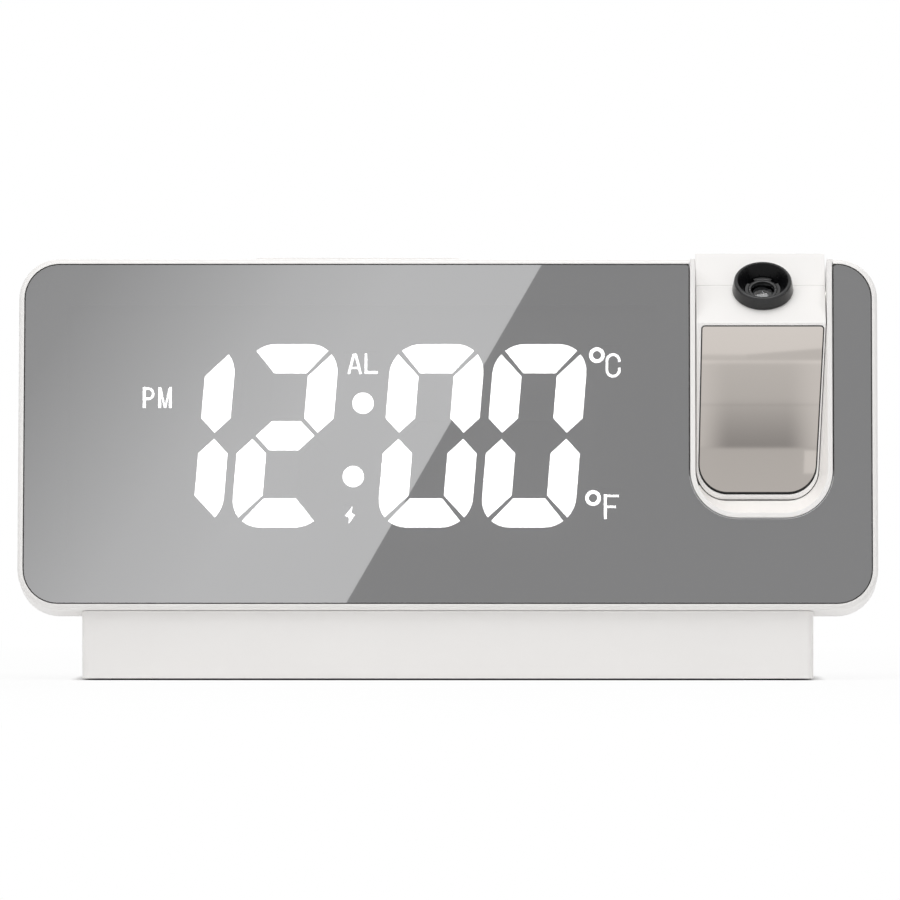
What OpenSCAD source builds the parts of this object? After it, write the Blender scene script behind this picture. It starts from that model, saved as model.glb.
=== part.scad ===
// Projection alarm clock: a mirror-faced slab that leans back on a wedge housing, with a
// projector arm that swings out of a U-shaped well at its right-hand end.
// World frame: +X to the right seen from the front, +Y to the back, +Z up, table at z = 0.
// Face frame: X as above, Y into the slab, Z up along the leaning face from its bottom edge.
// Arm frame: origin on the hinge axis, upright.  Wall frame: on the sloping rear wall.

/* [Overall] */
// Depth of the whole clock at its foot
clock_depth = 45; // [43:0.5:60]
// Height of the slab's lower front edge above the table
foot_rise = 15.7; // [13:0.1:22]
// Lean of the face back from upright, in degrees
face_lean = 8.5; // [6:0.5:11]

/* [Face slab] */
// Width of the slab
slab_w = 190; // [186:1:240]
// Height of the slab along the face
slab_h = 78.4; // [76:0.2:90]
// Depth of the slab behind the face
slab_d = 14; // [13.6:0.2:16]
// Corner radius of the slab, seen from the front
slab_r = 9; // [6:0.5:12]
// Radius on the front edge of the slab
front_edge_r = 1.2; // [0.5:0.1:1.6]
// Radius on the back edge of the slab
back_edge_r = 2.4; // [1:0.1:3]
// Thickness of the slab's side walls
slab_wall = 1.8; // [1.4:0.1:2.2]
// Thickness of the slab's back wall
back_wall = 2; // [1.5:0.1:2.4]
// Depth at which the bezel meets the rear case
split_d = 10; // [9.8:0.1:11]

/* [Mirror panel] */
// Width of the white lip left round the mirror
mirror_lip = 1.3; // [1:0.1:2]
// Thickness of the mirror panel
mirror_t = 2; // [1.5:0.1:3]
// Gap round the mirror panel
mirror_gap = 0.12; // [0.05:0.01:0.3]
// Width of the ledge that the mirror lies on
ledge_w = 4; // [3:0.5:6]
// Thickness of that ledge
ledge_t = 1.2; // [0.8:0.1:1.6]
// Radius of the mirror's corners beside the arm well
notch_corner_r = 0.9; // [0.4:0.1:1.5]

/* [Arm well] */
// Distance of the well's middle from the slab's right-hand end
well_in = 25.7; // [24.5:0.1:30]
// Width of the well's rim
well_w = 31.5; // [30:0.1:34]
// Distance of the rim's lowest edge below the arm's lower end
well_foot = 5.8; // [5:0.1:7]
// Radius of the rim's lower corners
well_r = 10.6; // [8:0.1:14]
// Thickness of the well's wall
well_wall = 1.2; // [1:0.1:1.4]
// Thickness of the well's floor
well_floor = 1.6; // [1.2:0.1:2]
// Radius of the scoop where the floor meets the lower wall
scoop_r = 7; // [5:0.5:7]
// Width of the flange behind the mirror
flange_w = 2; // [1:0.1:2.5]
// Thickness of that flange
flange_t = 1; // [0.8:0.1:1.5]
// Gap between the well and what it passes through
well_gap = 0.15; // [0.05:0.05:0.3]

/* [Projector arm] */
// Depth of the hinge axis behind the face
hinge_d = 9.4; // [9.2:0.1:9.5]
// Height of the hinge axis along the face
hinge_h = 70.4; // [70:0.1:70.8]
// Angle of the lens axis above the horizontal, in degrees
lens_lift = 47.5; // [46:0.5:50]
// Distance from the hinge axis to the flat that carries the focus ring
flat_inset = 3.2; // [3.1:0.1:3.6]
// Distance from the flat's lower edge to the lens axis
flat_low_half = 10.8; // [10:0.1:11]
// Radius of the arm's round head
head_r = 12.7; // [12.4:0.1:12.9]
// Distance of the parting line above the lens axis, along the flat
seam_rise = 1.6; // [0:0.1:2]
// Distance of the lens axis to the right of the arm's middle
lens_x = 0.5; // [0:0.1:0.8]
// Length of the arm from the hinge axis to its lower end
arm_len = 44.2; // [40:0.1:44.4]
// Gap between the arm's side and the well's wall
arm_gap = 0.2; // [0.15:0.05:0.3]
// How far the arm's left side leans in at its lower end
arm_in_left = 0; // [0:0.1:0.6]
// How far the arm's right side leans in at its lower end
arm_in_right = 2; // [1:0.1:2.4]
// Radius of the arm's lower corners
arm_corner_r = 6.8; // [5:0.1:8]
// Wall of the arm's shells
arm_wall = 1.4; // [1.2:0.1:1.8]
// Gap behind the arm and round its head
swing_gap = 0.5; // [0.4:0.05:0.8]
// Radius of the arm's rear lower edge
arm_toe_r = 2.2; // [1:0.1:2.5]
// Thickness of the arm's mirror plate
plate_t = 1; // [0.8:0.1:1.1]
// Margin of the shell left beside the mirror plate
plate_margin = 0.4; // [0.4:0.1:1]
// Margin left of the mirror plate at its top
plate_left = 1.2; // [0.6:0.1:1.6]
// Distance of the mirror plate's lower edge above the arm's lower end
plate_foot = 1.6; // [1.4:0.1:2]
// Gap below the mirror plate
plate_foot_gap = 0.4; // [0.1:0.1:0.6]
// Distance of the mirror plate's top edge below the head's flat
plate_drop = 0.7; // [0.4:0.1:1.5]

/* [Arm hinge] */
// Diameter of the hinge pins
pin_dia = 2.8; // [2.7:0.1:3]
// Running clearance of the pins in their bushes
pin_play = 0.05; // [0.02:0.01:0.1]
// Bore of the left pin, for the lead
pin_bore = 1.6; // [1.5:0.1:1.7]
// Outer diameter of the hinge bushes
bush_dia = 4.6; // [4.4:0.1:4.8]
// Length of each hinge bush
bush_len = 4.6; // [4:0.1:5]
// Diameter of the well's bosses that hold the pins
boss_dia = 4.8; // [4.4:0.1:4.9]
// Length of those bosses outside the well
boss_len = 3; // [2:0.1:4]
// Thickness of the pins' heads
pin_head_t = 1; // [0.8:0.1:1.2]

/* [Projector] */
// Outer diameter of the focus ring at its base
ring_dia = 13.6; // [12.8:0.1:14]
// Height of the focus ring above the flat
ring_rise = 3; // [2.4:0.1:3.2]
// Diameter of the ring's rim
ring_rim_dia = 12.8; // [12:0.1:13]
// Diameter of the cone's mouth inside the rim
ring_mouth = 11.2; // [10.6:0.1:11.6]
// Bore of the focus ring
ring_bore = 8.2; // [8:0.1:8.4]
// Diameter of the ring's neck in the arm's wall
ring_neck = 10; // [9.6:0.1:10.4]
// Diameter of the lens cell
cell_dia = 8; // [7.8:0.1:8.1]
// Diameter of the front lens
lens_dia = 6.4; // [6:0.1:6.6]
// Outer diameter of the projector tube
tube_dia = 10.4; // [10:0.1:10.8]
// Width of the notches in the lens cell's rim
notch_w = 1.6; // [1:0.1:2]
// Travel of the lens cell
focus_travel = 1; // [0.6:0.1:1.2]

/* [Digits] */
// Width of a digit
digit_w = 20.8; // [18:0.1:21]
// Height of a digit
digit_h = 41; // [36:0.1:46]
// Width of a segment
bar_t = 6.5; // [4:0.1:7]
// Gap between neighbouring segments
bar_gap = 0.7; // [0.5:0.1:1.5]
// Radius of a digit's outer corners
bar_corner_r = 6.6; // [4:0.1:8]
// Slant of the digits, in degrees
digit_slant = 4.6; // [0:0.1:8]
// Distance from digit to digit
digit_pitch = 22.8; // [22:0.1:24]
// Extra distance that the colon takes
colon_room = 9.5; // [8:0.1:12]
// Middle of the last digit, from the slab's middle
last_digit_x = 19.1; // [15:0.1:20]
// Height of the digits' middle above the slab's bottom edge
digit_mid_h = 39; // [36:0.1:41]
// Diameter of the colon's dots
dot_dia = 4.7; // [3:0.1:6]
// Height of the colon's dots above and below their middle
dot_rise = 8.2; // [6:0.1:12]
// Distance of the colon's middle below the digits' middle
dot_drop = 0.9; // [0:0.1:2]
// Slant of the colon, in degrees
dot_slant = 7.4; // [0:0.1:10]

/* [Display stack] */
// Thickness of the light windows
window_t = 1; // [0.6:0.1:1.5]
// Gap round each light window
window_gap = 0.05; // [0.02:0.01:0.1]
// Thickness of the reflector block
reflector_t = 6.3; // [5.6:0.1:6.6]
// Thickness of every circuit board
board_t = 1.6; // [1:0.1:1.6]
// Height of the segment lamps
lamp_t = 0.8; // [0.5:0.1:1.2]

/* [Wedge housing] */
// Distance of the foot's sides from the slab's ends
wedge_side = 14.3; // [12:0.1:16]
// Set-back of the foot's front behind the slab's lower edge
foot_setback = 2; // [1:0.1:4]
// Wall of the wedge
wedge_wall = 2; // [1.6:0.1:2.4]
// Clearance under the foot, which the pads fill
base_z = 0.4; // [0.3:0.1:1]
// Height of the upright part of the rear wall
kink_z = 17; // [16:0.5:20]
// Height of the wedge's top
wedge_top_z = 68; // [66:0.5:69]
// Set-back of the wedge's top edge from the rearmost point
wedge_in = 12.5; // [10:0.5:14]
// Radius of the wedge's top edge
wedge_top_r = 5; // [3:0.5:6]
// Radius of the wedge's lower rear edge
wedge_low_r = 1.5; // [0.5:0.1:1.9]
// Radius of the foot's upright edges
wedge_side_r = 1.6; // [0.5:0.1:1.9]
// Seam between the foot and the bezel above it
seam = 0.1; // [0.05:0.05:0.3]

/* [Foot pads] */
// Diameter of a foot pad
pad_dia = 9; // [6:0.5:12]
// Thickness of a foot pad
pad_t = 1.2; // [1:0.1:1.6]
// Distance of the pads' middles from the foot's sides
pad_in = 10.7; // [8:0.1:16]
// Distance of the pads' middles from the clock's middle, front and back
pad_y = 14; // [8:0.5:15]

/* [Battery bay] */
// Middle of the bay, from the clock's middle
bay_x = -41; // [-48:0.5:-38]
// Height of the bay's middle up the sloping wall
bay_s = 18.5; // [17:0.5:20]
// Diameter of a cell
cell_d = 10.5; // [10.3:0.1:10.5]
// Length of a cell with its nub
cell_len = 44.5; // [44:0.1:44.5]
// Height of a cell's nub
nub_t = 0.8; // [0.6:0.1:1]
// Diameter of a cell's nub
nub_dia = 3.6; // [3:0.1:3.8]
// Length of a contact spring when loaded
spring_len = 5; // [4:0.1:6]
// Thickness of a contact plate
contact_t = 0.4; // [0.3:0.1:0.5]
// Clear gap between the cells
cell_gap = 0.7; // [0.4:0.1:0.9]
// Wall of the bay
bay_wall = 1.2; // [1:0.1:1.5]
// Overlap of the door on the bay's edge
door_lap = 2.2; // [1.8:0.1:3]
// Gap round the door
door_gap = 0.4; // [0.3:0.05:0.6]
// Diameter of the door's hinge pins
door_pin_dia = 1.2; // [1:0.1:1.3]
// Length of the door's hinge pins
door_pin_len = 1.6; // [1.2:0.1:2]

/* [Buttons] */
// Diameter of a rear button
button_dia = 7; // [6:0.1:8]
// Distance from button to button
button_pitch = 15; // [13:0.5:16]
// Middle of the button row, from the clock's middle
button_x = -8; // [-12:0.5:0]
// Height of the button row up the sloping wall
button_s = 43; // [42.5:0.1:43.5]
// Height of a button above the wall
button_rise = 1.1; // [0.9:0.1:1.5]
// Gap round a button
button_gap = 0.1; // [0.05:0.01:0.15]
// Length of the snooze bar
snooze_len = 46; // [30:1:60]
// Width of the snooze bar
snooze_w = 4.6; // [3.5:0.1:5]
// Middle of the snooze bar, from the slab's middle
snooze_x = -20; // [-40:1:0]
// Depth of the snooze bar's middle behind the face
snooze_d = 6.6; // [6.5:0.1:6.7]
// Height of the snooze bar above the slab's top
snooze_rise = 0.9; // [0.8:0.05:1]

/* [Sound and ports] */
// Diameter of the speaker
speaker_dia = 27; // [24:0.5:28]
// Depth of the speaker
speaker_t = 5; // [4:0.1:6]
// Middle of the speaker, from the clock's middle
speaker_x = 18; // [16:0.5:22]
// Height of the speaker's middle up the sloping wall
speaker_s = 19; // [17:0.5:20]
// Width of a grille slot
slot_w = 1.6; // [1:0.1:2]
// Distance from slot to slot
slot_pitch = 3; // [2.6:0.1:4]
// Middle of the charging outlet, from the clock's middle
outlet_x = 44; // [38:0.5:48]
// Middle of the power inlet, from the clock's middle
inlet_x = 64; // [60:0.5:68]
// Gap round a port in the wall
port_gap = 0.25; // [0.1:0.05:0.4]

/* [Fasteners] */
// Diameter of the case screws
case_screw_dia = 2.4; // [2:0.1:2.6]
// Diameter of the case screws' heads
case_head_dia = 4.6; // [4:0.1:4.8]
// Diameter of the board screws
board_screw_dia = 2; // [1.6:0.1:2.2]
// Diameter of the board screws' heads
board_head_dia = 3.6; // [3:0.1:4]
// Thickness of a screw's head
screw_head_t = 1; // [0.8:0.1:1.2]
// Width of the arms of a screw's cross recess
recess_w = 0.5; // [0.4:0.1:0.7]
// Depth of that recess
recess_t = 0.7; // [0.5:0.1:0.7]
// Diameter of a screw boss
screw_boss_dia = 5; // [4.6:0.1:5.2]
// Gap between a screw and its hole
screw_gap = 0.05; // [0.02:0.01:0.1]

/* [Hidden] */

$fn = 64;
bite = 1;            // how far a cutting shape runs past a face
mesh_fit = 0.02;     // gap between parts that are seated in each other
lead_dia = 1.4;       // thickness of the projector's lead
toe_front_r = 1;      // radius on the arm's front lower edge

// World position of the face frame; the rounded front edge just touches the front limit.
face_y = -clock_depth / 2 - front_edge_r * (cos(face_lean) + sin(face_lean) - 1);
foot_front_y = face_y + foot_setback;
rear_y = clock_depth / 2;
function face_pt(d, h) = [face_y + d * cos(face_lean) + h * sin(face_lean),
    foot_rise - d * sin(face_lean) + h * cos(face_lean)];

// Mirror panel
mirror_w = slab_w - 2 * mirror_lip;
mirror_h = slab_h - 2 * mirror_lip;
mirror_r = slab_r - mirror_lip;
mirror_front = 0.1;
mirror_back = mirror_front + mirror_t;
ledge_back = mirror_back + ledge_t;
slab_inside = slab_d - back_wall;

// Arm well
well_x = slab_w / 2 - well_in;
well_h = hinge_h - arm_len - well_foot;
well_in_w = well_w - 2 * well_wall;
floor_d = slab_d - well_floor;
floor_end_h = hinge_h + 4.4;

// Arm, in the arm frame
hinge = face_pt(hinge_d, hinge_h);
lens_dir = [-cos(lens_lift), sin(lens_lift)];
flat_dir = [sin(lens_lift), cos(lens_lift)];
flat_low = flat_inset * lens_dir - flat_low_half * flat_dir;
arm_w = well_in_w - 2 * arm_gap;
arm_back = floor_d - swing_gap - hinge_d;
function arm_back_pt(h) = [arm_back * cos(face_lean) + h * sin(face_lean),
    -arm_back * sin(face_lean) + h * cos(face_lean)];
plate_top = flat_low.y - plate_drop;
plate_low = -arm_len + plate_foot;
plate_top_r = 0.75;

// Projector, along the lens axis from the hinge axis
ring_base = flat_inset;
ring_top = flat_inset + ring_rise;
neck_low = flat_inset - arm_wall - 0.4;
cell_low = flat_inset - 3.2;
cell_top = flat_inset + 0.3;
tube_low = -head_r + arm_wall + 2.4;
tube_top = neck_low - 0.3;
tube_step = cell_low - 0.3;
tube_in_dia = tube_dia - 3.2;
lens_low = cell_low + 0.6;
lens_t = 2.2;
lens_curve = 7;
retainer_wall = 0.6;
lens_seat = lens_low + lens_t - lens_curve
    + sqrt(pow(lens_curve, 2) - pow(lens_dia / 2 - retainer_wall, 2));

// Wedge
wedge_w = slab_w - 2 * wedge_side;
pad_x = wedge_w / 2 - pad_in;
wall_kink = [rear_y, kink_z];
wall_top = [rear_y - wedge_in, wedge_top_z];
wall_lean = atan2(wedge_in, wedge_top_z - kink_z);
base_in_z = base_z + wedge_wall;
main_board_z = base_in_z + 0.8;
main_top_z = main_board_z + board_t;

// Battery bay, in the wall frame
bay_len = cell_len + spring_len + 2 * contact_t + 0.2;
bay_high = 2 * cell_d + 3 * cell_gap + 0.4;
bay_deep = cell_d + 0.6;
bay_top_y = -wedge_wall - bay_wall;
cell_y = bay_top_y - bay_deep + 0.1 + cell_d / 2;
door_w = bay_len + 2 * door_lap;
door_h = bay_high + 2 * door_lap;
door_t = wedge_wall - 0.1;
door_low_s = bay_s - door_h / 2;
door_axis_y = -door_t / 2;
door_axis_s = door_low_s + door_t / 2;

// Buttons, in the wall frame
flange_y = -wedge_wall - 0.1;
button_end_y = flange_y - 0.8;
press_gap = 0.65;
plunger_y = button_end_y - press_gap;
switch_top_y = plunger_y - 0.7;
button_board_y = switch_top_y - 3.5;
button_board_x = button_x;
button_board_w = 4 * button_pitch + 26;
button_board_h = 10.4;

// Snooze bar, in the face frame
snooze_flange_h = slab_h - slab_wall - 0.1;
snooze_end_h = snooze_flange_h - 0.8;
snooze_plunger_h = snooze_end_h - 0.75;
snooze_board_h = snooze_plunger_h - 2.2 - board_t;

// Screw places, in the face frame: x and height
case_screw_x = slab_w / 2 - slab_wall - screw_boss_dia / 2 - 0.4;
case_screw_at = [for (x = [-case_screw_x, case_screw_x], h = [slab_r, hinge_h - 12]) [x, h]];
display_left = -slab_w / 2 + slab_wall + ledge_w + 2;
display_right = well_x - well_w / 2 - boss_len - pin_head_t - 1;
display_low = slab_wall + ledge_w + 2;
display_high = slab_h - slab_wall - ledge_w - 3;
display_screw_at = [for (x = [display_left + 5, display_right - 5],
    h = [display_low + 4, display_high - 4]) [x, h]];
main_right = wedge_w / 2 - wedge_wall - 2.7;
main_left = -main_right;
main_front = -17;
main_rear = rear_y - wedge_wall - 0.6;
main_screw_at = [for (x = [main_left + 5, main_right - 5], y = [main_front + 4, main_front + 26]) [x, y]];
button_screw_x = button_board_w / 2 - 3;
lead_land = [main_right - 46, main_front + 21];

// ---------------------------------------------------------------- frames and helpers
module at_face() {
    translate([0, face_y, foot_rise]) rotate([-face_lean, 0, 0]) children();
}

module at_arm() {
    translate([well_x, hinge.x, hinge.y]) children();
}

// Z of the children runs out along the lens axis, with the hinge axis at their origin.
module at_lens() {
    at_arm() translate([lens_x, 0, 0]) rotate([90 - lens_lift, 0, 0]) children();
}

// Y of the children is the outward normal of the rear wall, Z runs up it from the kink.
module at_wall() {
    translate([0, wall_kink.x, wall_kink.y]) rotate([wall_lean, 0, 0]) children();
}

// Turns an outline in X and Z into a prism from y = y1 to y = y2.
module along_y(y1, y2) {
    translate([0, y2, 0]) rotate([90, 0, 0]) linear_extrude(y2 - y1) children();
}

// Turns an outline in Y and Z into a prism of width w, centred on x = 0.
module along_x(w) {
    rotate([90, 0, 90]) linear_extrude(w, center = true) children();
}

function unit(v) = v / norm(v);

// An outline whose convex corners are rounded by true arcs; a radius of 0 keeps a corner.
module rounded_outline(pts, radii) {
    n = len(pts);
    half = [for (i = [0:n - 1]) let (p = pts[i], u = unit(pts[(i + n - 1) % n] - p),
        v = unit(pts[(i + 1) % n] - p)) acos(u * v) / 2];
    mid = [for (i = [0:n - 1]) let (p = pts[i]) unit(unit(pts[(i + n - 1) % n] - p)
        + unit(pts[(i + 1) % n] - p))];
    polygon([for (i = [0:n - 1]) let (p = pts[i], run = radii[i] / tan(half[i]))
        each radii[i] == 0 ? [p] : [p + run * unit(pts[(i + n - 1) % n] - p),
            p + run * unit(pts[(i + 1) % n] - p)]]);
    for (i = [0:n - 1]) if (radii[i] > 0)
        translate(pts[i] + mid[i] * radii[i] / sin(half[i])) circle(radii[i]);
}

// A rounded rectangle, centred on x = 0, from low to high.
module round_rect(w, low, high, r) {
    rounded_outline([[-w / 2, low], [w / 2, low], [w / 2, high], [-w / 2, high]], [r, r, r, r]);
}

// A bar across X, w wide and centred on x = 0.
module bar_x(w, y1, y2, z1, z2) {
    translate([-w / 2, y1, z1]) cube([w, y2 - y1, z2 - z1]);
}

// A disc or bore along Y, from y = y1 to y = y2.
module disc_y(dia, y1, y2) {
    along_y(y1, y2) circle(d = dia);
}

// A thin lead swept along a few points, eight-sided, each ring square to the run there.
module lead(points, dia) {
    sides = 8;
    n = len(points);
    run = [for (i = [0:n - 1]) unit(unit(points[min(i + 1, n - 1)] - points[max(i - 1, 0)]))];
    across = [for (v = run) unit(cross(v, abs(v.z) > 0.9 ? [0, 1, 0] : [0, 0, 1]))];
    rings = [for (i = [0:n - 1], k = [0:sides - 1]) let (a = 360 * k / sides)
        points[i] + dia / 2 * (cos(a) * across[i] + sin(a) * cross(run[i], across[i]))];
    polyhedron(rings, concat([[for (k = [0:sides - 1]) k]],
        [for (i = [0:n - 2], k = [0:sides - 1]) let (m = (k + 1) % sides, a = i * sides, b = a + sides)
            each [[a + k, b + k, a + m], [a + m, b + k, b + m]]],
        [[for (k = [sides - 1:-1:0]) (n - 1) * sides + k]]));
}

// Section of the slab's rim, X outwards and Y into the slab, rounded by e at the face.
module rim_section(depth, e) {
    difference() {
        square([slab_r, depth]);
        translate([slab_r - e, 0]) square([2 * e, e]);
    }
    intersection() {
        translate([slab_r - e, e]) circle(e);
        translate([slab_r - e, 0]) square(e);
    }
}

// The slab's body: a middle block, four straight rims and four turned corners, face to face.
module soft_slab(depth, e) {
    x = slab_w / 2 - slab_r;
    z = [slab_r, slab_h - slab_r];
    translate([-x, 0, z[0]]) cube([2 * x, depth, z[1] - z[0]]);
    for (side = [0, 1]) {
        translate([(2 * side - 1) * x, 0, z[0]]) mirror([1 - side, 0, 0])
            linear_extrude(z[1] - z[0]) rim_section(depth, e);
        translate([0, 0, z[side]]) rotate([0, 90 - 180 * side, 0])
            linear_extrude(2 * x, center = true) rim_section(depth, e);
        for (high = [0, 1]) translate([(2 * side - 1) * x, 0, z[high]]) rotate([90, 0, 0])
            mirror([0, 0, 1]) mirror([1 - side, 0, 0]) mirror([0, 1 - high, 0])
            rotate_extrude(angle = 90) rim_section(depth, e);
    }
}

// The U outline shared by the well, the mirror's notch and the openings round them.
module u_outline(grow, top) {
    w = well_w + 2 * grow;
    translate([well_x, 0]) rounded_outline([[-w / 2, well_h - grow], [w / 2, well_h - grow],
        [w / 2, top], [-w / 2, top]], [well_r + grow, well_r + grow, 0, 0]);
}

// ---------------------------------------------------------------- slab
module front_bezel() {
    color("whitesmoke") at_face() {
        difference() {
            soft_slab(split_d, front_edge_r);
            // tray for the mirror
            along_y(-bite, mirror_back) round_rect(mirror_w + 2 * mirror_gap,
                mirror_lip - mirror_gap, slab_h - mirror_lip + mirror_gap, mirror_r + mirror_gap);
            // display opening inside the ledge
            along_y(0, split_d) round_rect(slab_w - 2 * (slab_wall + ledge_w),
                slab_wall + ledge_w, slab_h - slab_wall - ledge_w, slab_r - slab_wall - ledge_w);
            // hollow behind the ledge
            along_y(ledge_back, split_d + bite) round_rect(slab_w - 2 * slab_wall,
                slab_wall, slab_h - slab_wall, slab_r - slab_wall);
            // passage of the arm well
            along_y(-bite, split_d + bite) u_outline(well_gap, slab_h + bite);
            along_y(mirror_back - mesh_fit, ledge_back + bite)
                u_outline(flange_w + well_gap, slab_h - slab_wall);
            // slot for the snooze bar
            translate([snooze_x, snooze_d, slab_h - slab_wall - bite])
                linear_extrude(slab_wall + 2 * bite) pill(snooze_len + 2 * button_gap,
                    snooze_w + 2 * button_gap);
        }
        // bosses for the case screws
        for (p = case_screw_at) translate([p.x, 0, p.y]) difference() {
            disc_y(screw_boss_dia, ledge_back, slab_inside);
            disc_y(case_screw_dia + 2 * screw_gap, ledge_back + 1.6, slab_inside + bite);
        }
    }
}

// A flat bar with round ends, centred, lying along X.
module pill(w, d) {
    square([w - d, d], center = true);
    for (s = [-1, 1]) translate([s * (w - d) / 2, 0]) circle(d = d);
}

module mirror_panel() {
    color([0.62, 0.62, 0.63]) at_face() difference() {
        along_y(mirror_front, mirror_back)
            round_rect(mirror_w, mirror_lip, slab_h - mirror_lip, mirror_r);
        along_y(mirror_front - bite, mirror_back + bite) {
            u_outline(well_gap, slab_h);
            // the small radii at the mouth of the notch
            for (s = [-1, 1]) translate([well_x + s * (well_w / 2 + well_gap), slab_h - mirror_lip])
                difference() {
                    square(2 * notch_corner_r, center = true);
                    translate([s * notch_corner_r, -notch_corner_r]) circle(notch_corner_r);
                }
        }
    }
}

// The space that the arm lies and turns in, in the face frame.
module well_space() {
    w = well_in_w;
    translate([well_x, 0, 0]) {
        intersection() {
            along_y(-bite, floor_d + bite) rounded_outline([[-w / 2, well_h + well_wall],
                [w / 2, well_h + well_wall], [w / 2, slab_h + bite], [-w / 2, slab_h + bite]],
                [well_r - well_wall, well_r - well_wall, 0, 0]);
            along_x(w + 2) rounded_outline([[-2 * bite, well_h], [-2 * bite, slab_h + 2 * bite],
                [floor_d, slab_h + 2 * bite], [floor_d, well_h + well_wall], [0, well_h + well_wall]],
                [0, 0, 0, scoop_r, 0]);
        }
        translate([0, hinge_d, hinge_h]) rotate([0, 90, 0])
            cylinder(r = head_r + swing_gap, h = w, center = true);
        // open back above the head
        bar_x(w, hinge_d, slab_d + 2 * head_r, floor_end_h, slab_h + bite);
    }
}

module arm_well() {
    color("white") at_face() {
        difference() {
            union() {
                along_y(0, slab_d) u_outline(0, slab_h);
                along_y(mirror_back, mirror_back + flange_t)
                    u_outline(flange_w, slab_h - slab_wall - well_gap);
                // round barrel behind the head
                intersection() {
                    translate([well_x, hinge_d, hinge_h]) rotate([0, 90, 0])
                        cylinder(r = head_r + swing_gap + well_floor, h = well_w, center = true);
                    along_y(slab_d - well_floor, slab_d + 2 * head_r)
                        translate([well_x - well_w / 2, 0]) square([well_w, floor_end_h]);
                }
                // bosses for the hinge pins
                for (s = [-1, 1]) translate([well_x + s * (well_w / 2 - well_wall / 2), hinge_d, hinge_h])
                    rotate([0, s * 90, 0]) cylinder(d = boss_dia, h = boss_len + well_wall / 2);
            }
            well_space();
            translate([well_x, hinge_d, hinge_h]) rotate([0, 90, 0])
                cylinder(d = pin_dia + 2 * mesh_fit, h = 2 * well_w, center = true);
        }
    }
}

// ---------------------------------------------------------------- display
function slanted(p) = [p.x + p.y * tan(digit_slant), p.y];

// Points on a digit's upper right corner, between two angles.
function corner_arc(a1, a2) = [for (k = [0:4]) let (a = a1 + k * (a2 - a1) / 4)
    [digit_w / 2, digit_h / 2] + bar_corner_r * [cos(a) - 1, sin(a) - 1]];

// The bars of a digit, centred on it; sx and sy mirror the one upright bar into four.
function upright_bar(sx, sy) = let (w = digit_w / 2, h = digit_h / 2, t = bar_t, g = bar_gap)
    [for (p = concat(corner_arc(41, 0), [[w, t / 2 + g], [w - t / 2, g], [w - t, t / 2 + g],
        [w - t, h - t - g]])) [sx * p.x, sy * p.y]];
function level_bar(sy) = let (w = digit_w / 2, h = digit_h / 2, t = bar_t, g = bar_gap)
    [for (p = concat(corner_arc(90, 51), [[w - t - g / 2, h - t], [-w + t + g / 2, h - t]],
        [for (p = corner_arc(51, 90)) [-p.x, p.y]])) [p.x, sy * p.y]];
function middle_bar() = let (w = digit_w / 2 - bar_t / 2 - bar_gap, t = bar_t / 2)
    [[-w, 0], [-w + t, t], [w - t, t], [w, 0], [w - t, -t], [-w + t, -t]];

digit_bars = [level_bar(1), level_bar(-1), middle_bar(), upright_bar(1, 1),
    upright_bar(1, -1), upright_bar(-1, 1), upright_bar(-1, -1)];
leading_bars = [upright_bar(1, 1), upright_bar(1, -1)];
digit_x = [last_digit_x - 3 * digit_pitch - colon_room, last_digit_x - 2 * digit_pitch - colon_room,
    last_digit_x - digit_pitch, last_digit_x];
colon_x = last_digit_x - 1.5 * digit_pitch - colon_room / 2;

// Places of the small signs: x, height, width, height of the window.
sign_at = [[-64.2, 47.6, 7.4, 5.4], [-19, 55.2, 7.4, 5.4], [-21.6, 21.3, 3, 4.6],
    [34.8, 55.4, 7.4, 7.6], [34.1, 23.6, 8, 7.2]];

// Middle of a colon dot; s is 1 for the upper one and -1 for the lower one.
function dot_at(s) = [colon_x + s * dot_rise * tan(dot_slant), digit_mid_h - dot_drop + s * dot_rise];

// All light windows as one outline in the face plane.
module window_outline(grow) {
    for (i = [0:3]) translate([digit_x[i], digit_mid_h])
        for (bar = i == 0 ? leading_bars : digit_bars)
            grown_bar([for (p = bar) slanted(p)], grow);
    for (s = [-1, 1]) translate(dot_at(s)) circle(d = dot_dia + 2 * grow);
    for (p = sign_at) translate([p[0], p[1]]) square([p[2] + 2 * grow, p[3] + 2 * grow], center = true);
}

// A bar scaled about its own middle by a small margin.
module grown_bar(pts, grow) {
    n = len(pts);
    mid = [for (i = [0:1]) ([for (p = pts) p[i]] * [for (p = pts) 1]) / n];
    polygon([for (p = pts) p + grow * unit(p - mid)]);
}

display_board_d = mirror_back + reflector_t;
tab_reach = 4.4;

// A block over the display's whole area, from depth d1 to depth d2.
module display_block(d1, d2) {
    translate([display_left, d1, display_low])
        cube([display_right - display_left, d2 - d1, display_high - display_low]);
}

module display_reflector() {
    color([0.12, 0.12, 0.13]) at_face() difference() {
        union() {
            display_block(mirror_back, display_board_d);
            // tabs that rest on the bezel's ledge
            for (x = [display_left + 20, display_right - 20]) translate([x, 0])
                bar_x(10, ledge_back, ledge_back + 1.2, display_low - tab_reach, display_high + tab_reach);
        }
        along_y(mirror_back - bite, mirror_back + reflector_t + bite) window_outline(window_gap);
        for (p = display_screw_at) translate([p.x, 0, p.y])
            disc_y(board_screw_dia + 2 * screw_gap, mirror_back + 1.5, mirror_back + reflector_t + bite);
    }
}

module segment_windows() {
    color("white") at_face() along_y(mirror_back, mirror_back + window_t) window_outline(0);
}

module display_board() {
    color("darkgreen") at_face() difference() {
        display_block(display_board_d, display_board_d + board_t);
        for (p = display_screw_at) translate([p.x, 0, p.y])
            disc_y(board_screw_dia + 2 * screw_gap, display_board_d - bite, display_board_d + board_t + bite);
    }
}

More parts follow.
